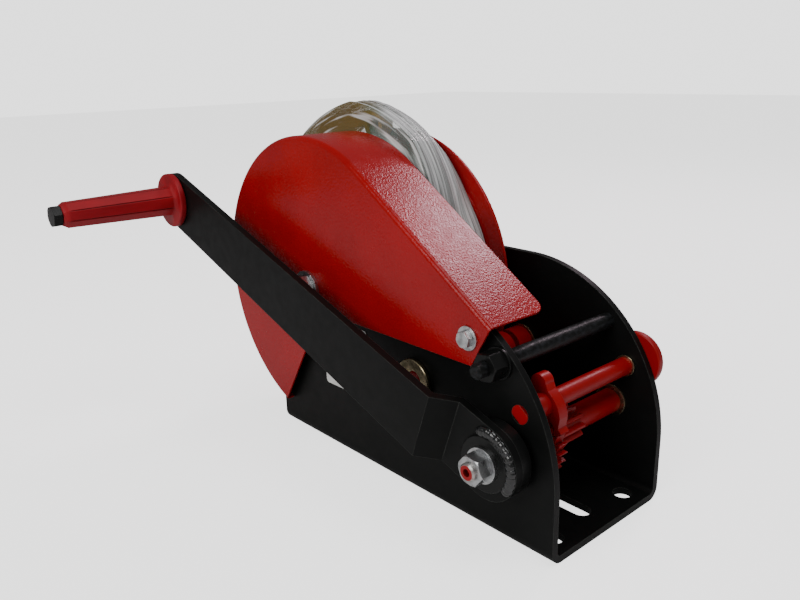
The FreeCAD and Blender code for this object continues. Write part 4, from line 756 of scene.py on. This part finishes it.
def film_finish():
    """Clear stretch film: glossy milky streaks along the wrap, thick towards the far flange
    and thin on the near side, where the rope and the hook show through. The streaks' lighter
    tone and the thin light lines on the near side are partly milky film and partly a painted
    highlight. Behind the crest the near side has a tan haze, and the thick side reaches less
    far across."""
    haze = colours().film
    film = Surface("stretch_film", haze, 0.12, IOR=1.45)
    streak = film.noise(1.0, 3.0, stretch=(9.0, 330.0, 1.0), on=film.laid)
    thread = film.noise(1.0, 2.0, stretch=(22.0, 1100.0, 1.0), shift=4.0, on=film.laid)
    patch = film.noise(1.0, 2.0, stretch=(30.0, 60.0, 1.0), shift=9.0, on=film.laid)
    across = film.add("ShaderNodeSeparateXYZ", {"Vector": film.laid}, 1)
    wavy = film.maths("ADD", across, film.between(patch, 0.3, 0.7, -4 * MM, 4 * MM))
    round_drum = film.add("ShaderNodeSeparateXYZ", {"Vector": film.laid}, 0)
    behind = film.between(
        round_drum, CREST_START * FILM_UV_RADIUS, CREST_END * FILM_UV_RADIUS, 0.0, 1.0)
    wavy = film.maths("SUBTRACT", wavy, film.maths("MULTIPLY", behind, 16 * MM))
    far = film.between(wavy, -17 * MM, -4 * MM, 0.0, 1.0)
    streaks = film.between(streak, 0.42, 0.60, 0.0, 0.75)
    lines = film.maths("ADD", streaks, film.between(thread, 0.50, 0.64, 0.0, 0.80))
    cover = film.maths("MULTIPLY", lines, film.between(far, 0.0, 1.0, 0.35, 1.0))
    cover = film.maths("ADD", cover, film.between(far, 0.0, 1.0, 0.02, 0.30))
    tan_side = film.maths("MULTIPLY", behind, film.between(far, 0.0, 1.0, 0.34, 0.0))
    alpha = film.maths("ADD", film.between(cover, 0.0, 1.0, 0.16, 1.0), tan_side)
    film.plug(film.shader, {"Alpha": film.between(alpha, 0.0, 1.0, 0.0, 1.0)})
    # Streak tone: milky layers of film, and partly a painted highlight.
    pale = film.mixed(film.between(streak, 0.35, 0.65, 0.0, 1.0), shade(haze, 0.50), shade(haze, 1.10))
    shown = film.mixed(behind, (0.07, 0.16, 0.11), (0.24, 0.18, 0.07))
    # The thin light lines on the near side are partly a painted highlight.
    near = film.mixed(film.between(thread, 0.52, 0.62, 0.0, 1.0), shown, haze)
    tone = film.mixed(far, near, pale)
    height = film.maths("ADD", streak, film.maths("MULTIPLY", thread, 0.5))
    return film.wear(tone, film.between(thread, 0.4, 0.7, 0.08, 0.24), film.relief(height, 2.0 * MM))


class WINCH_OT_wrap_film(bpy.types.Operator):
    """Wraps the wound rope and the stowed hook in stretch film"""

    bl_idname = "winch.wrap_film"
    bl_label = "Wrap the film"

    def execute(self, context):
        low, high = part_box("packing_film")
        turn = (2 * math.pi * np.arange(420) / 420)[:, None]
        across = np.linspace(low.y, high.y, 76)[None, :]
        outer = film_radius(turn, across) + fold_height(turn, across)
        wall = sizes().film_wall
        # The section goes out along the outer skin and back along the inner one.
        r = np.concatenate([outer, outer[:, ::-1] - wall], 1)
        y = np.concatenate([across, across[:, ::-1]], 1) + 0 * r
        points = np.stack([DRUM_X + r * np.cos(turn), y, DRUM_Z + r * np.sin(turn)], -1)
        laid = np.stack([turn * FILM_UV_RADIUS + 0 * r, y], -1).reshape(-1, 2)
        faces = grid_faces(len(turn), r.shape[1], True, True)
        film = build_mesh("wrapped_film", points.reshape(-1, 3), faces, film_finish(), laid)
        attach(film, "drum")
        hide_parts("packing_film")
        return {"FINISHED"}


# --- the weld -----------------------------------------------------------------------------
def weld_surface():
    """Round bead bent along an arc of the hub's edge: points and quads, open at both ends.

    Its half width rises and drops as |sin| once in every ripple's length of arc, wanders
    with smoothed noise and shrinks to a seventh at both ends.
    """
    face_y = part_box("hub_weld")[1].y
    rings, sides = 220, 14
    arc_radius, ripple_length = 21.0 * MM, 4.2 * MM
    smoothing = 25
    end_turn = 0.16
    turn = np.radians(np.linspace(-46.0, 112.0, rings))
    dice = np.random.default_rng(3)
    steps = dice.uniform(-1, 1, rings + smoothing - 1)
    rough = np.convolve(steps, np.ones(smoothing) / smoothing, "valid")
    ends = np.clip(np.minimum(turn - turn[0], turn[-1] - turn) / end_turn, 0.02, 1.0) ** 0.5
    ripple = np.abs(np.sin(math.pi * turn * arc_radius / ripple_length + 2.0 * rough))
    size = sizes().bead_radius * ends * (0.86 + 0.14 * ripple + 0.30 * rough)
    centre = 20.8 * MM + 1.6 * MM * rough
    round_it = 2 * math.pi * np.arange(sides) / sides
    out = centre[:, None] + size[:, None] * np.cos(round_it)
    y = face_y + 0.75 * size[:, None] * np.sin(round_it)
    turn = turn[:, None]
    points = np.stack([SHAFT_X + out * np.cos(turn), y, SHAFT_Z + out * np.sin(turn)], -1)
    return points.reshape(-1, 3), grid_faces(rings, sides, False, True)


def weld_finish():
    """Glossy black paint over a rough bead."""
    black = colours().black
    bead = Surface("painted_weld", black, 0.16, **{"Specular IOR Level": 0.85})
    spatter = bead.noise(1.6 * MM, 3.0)
    tone = bead.mixed(bead.between(spatter, 0.5, 0.72, 0.0, 1.0), black, (0.030, 0.032, 0.036))
    gloss = bead.between(spatter, 0.35, 0.7, 0.12, 0.26)
    return bead.wear(tone, gloss, bead.relief(spatter, 0.16 * MM))


class WINCH_OT_lay_weld(bpy.types.Operator):
    """Lays the rippled weld bead between the crank's hub disc and its arm"""

    bl_idname = "winch.lay_weld"
    bl_label = "Lay the weld bead"

    def execute(self, context):
        points, faces = weld_surface()
        piece = build_mesh("weld_bead", points, faces, weld_finish())
        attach(piece, "drive")
        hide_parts("hub_weld")
        return {"FINISHED"}


# --- floor, light and camera ----------------------------------------------------------------
CAMERA_PLACE = (0.3953, -0.3952, 0.3017)
CAMERA_AHEAD = (-0.721, 0.628, -0.293)
CAMERA_UP = (-0.204, 0.212, 0.956)
# The floor and the air look brighter than the light that they give.
FLOOR_GLOW_SEEN = 1.7
AIR_LIGHT = 0.17
AIR_SEEN = 2.2


def aimed(place, ahead, up=(0.0, 0.0, 1.0)):
    """Matrix of a lamp or camera at place that looks along ahead."""
    z = -Vector(ahead).normalized()
    x = Vector(up).cross(z).normalized()
    y = z.cross(x)
    turn = Matrix((x, y, z)).transposed().to_4x4()
    return Matrix.Translation(place) @ turn


def soft_light(name, place, target, size, power, tint):
    lamp = bpy.data.lights.new(name, "AREA")
    lamp.shape = "DISK"
    lamp.size = size
    lamp.energy = power
    lamp.color = tint
    rig = bpy.data.objects.new(name, lamp)
    bpy.context.scene.collection.objects.link(rig)
    rig.matrix_world = aimed(place, Vector(target) - Vector(place))


class WINCH_OT_stage(bpy.types.Operator):
    """Sets the pale floor, the soft lamps and the camera"""

    bl_idname = "winch.stage"
    bl_label = "Set the stage"

    def execute(self, context):
        pale = colours().floor
        surface = Surface("pale_floor", pale, 0.85)
        cloud = surface.noise(0.25, 2.0)
        tone = surface.mixed(surface.between(cloud, 0.35, 0.65, 0.0, 1.0), shade(pale, 0.98), pale)
        half = 6.0
        across = np.linspace(-half, half, 5)
        x, y = np.meshgrid(across, across, indexing="ij")
        points = np.stack([x, y, 0 * x - 0.05 * MM], -1).reshape(-1, 3)
        seen = surface.add("ShaderNodeLightPath", {}, 0)
        surface.plug(surface.shader, {
            "Emission Color": (1.0, 1.0, 1.0, 1.0),
            "Emission Strength": surface.maths("MULTIPLY", seen, FLOOR_GLOW_SEEN)})
        floor = build_mesh("studio_floor", points, grid_faces(5, 5, False, False), surface.wear(tone))

        world = bpy.data.worlds.new("studio_air")
        world.use_nodes = True
        sky = world.node_tree.nodes["Background"]
        sky.inputs["Color"].default_value = (1.0, 1.0, 1.0, 1.0)
        path = world.node_tree.nodes.new("ShaderNodeLightPath")
        level = world.node_tree.nodes.new("ShaderNodeMapRange")
        level.inputs["To Min"].default_value = AIR_LIGHT
        level.inputs["To Max"].default_value = AIR_SEEN
        world.node_tree.links.new(path.outputs["Is Camera Ray"], level.inputs["Value"])
        world.node_tree.links.new(level.outputs["Result"], sky.inputs["Strength"])
        context.scene.world = world

        middle = (0.0, 0.0, 0.13)
        soft_light("window_behind", (-0.15, 1.25, 1.35), middle, 0.42, 7.0, (1.0, 0.80, 0.90))
        soft_light("front_softbox", (0.2, -1.7, 1.1), middle, 1.2, 17.0, (1.0, 0.99, 0.97))
        soft_light("top_softbox", (0.5, 0.1, 1.6), middle, 0.9, 7.5, (1.0, 1.0, 1.0))

        lens = bpy.data.cameras.new("camera")
        lens.lens = sizes().camera_lens
        lens.sensor_fit = "HORIZONTAL"
        lens.sensor_width = 36.0
        lens.clip_start = 0.01
        camera = bpy.data.objects.new("camera", lens)
        context.scene.collection.objects.link(camera)
        camera.matrix_world = aimed(CAMERA_PLACE, CAMERA_AHEAD, CAMERA_UP)
        context.scene.camera = camera
        return {"FINISHED"}


# --- panel and registration --------------------------------------------------------------------
STEPS = (
    WINCH_OT_stage,
    WINCH_OT_paint_black,
    WINCH_OT_paint_red,
    WINCH_OT_plate_metal,
    WINCH_OT_finish_gears,
    WINCH_OT_finish_grip,
    WINCH_OT_fit_blank_plate,
    WINCH_OT_wind_rope,
    WINCH_OT_wind_core,
    WINCH_OT_finish_hook,
    WINCH_OT_wrap_film,
    WINCH_OT_lay_weld,
)


class WINCH_PT_pieces(bpy.types.Panel):
    """Lists the winch's sizes, colours and the pieces to make"""

    bl_label = "Winch"
    bl_idname = "WINCH_PT_pieces"
    bl_space_type = "VIEW_3D"
    bl_region_type = "UI"
    bl_category = "Winch"

    def draw(self, context):
        layout = self.layout
        for group in (context.scene.winch_sizes, context.scene.winch_colours):
            column = layout.column()
            for key in group.__annotations__:
                column.prop(group, key)
        for step in STEPS:
            layout.operator(step.bl_idname)


CLASSES = (WinchColours, WinchSizes) + STEPS + (WINCH_PT_pieces,)


def register():
    for made in CLASSES:
        bpy.utils.register_class(made)
    bpy.types.Scene.winch_colours = bpy.props.PointerProperty(type=WinchColours)
    bpy.types.Scene.winch_sizes = bpy.props.PointerProperty(type=WinchSizes)


def unregister():
    del bpy.types.Scene.winch_sizes
    del bpy.types.Scene.winch_colours
    for made in reversed(CLASSES):
        bpy.utils.unregister_class(made)


def main():
    register()
    for step in STEPS:
        group, name = step.bl_idname.split(".")
        getattr(getattr(bpy.ops, group), name)()


if __name__ == "__main__":
    main()
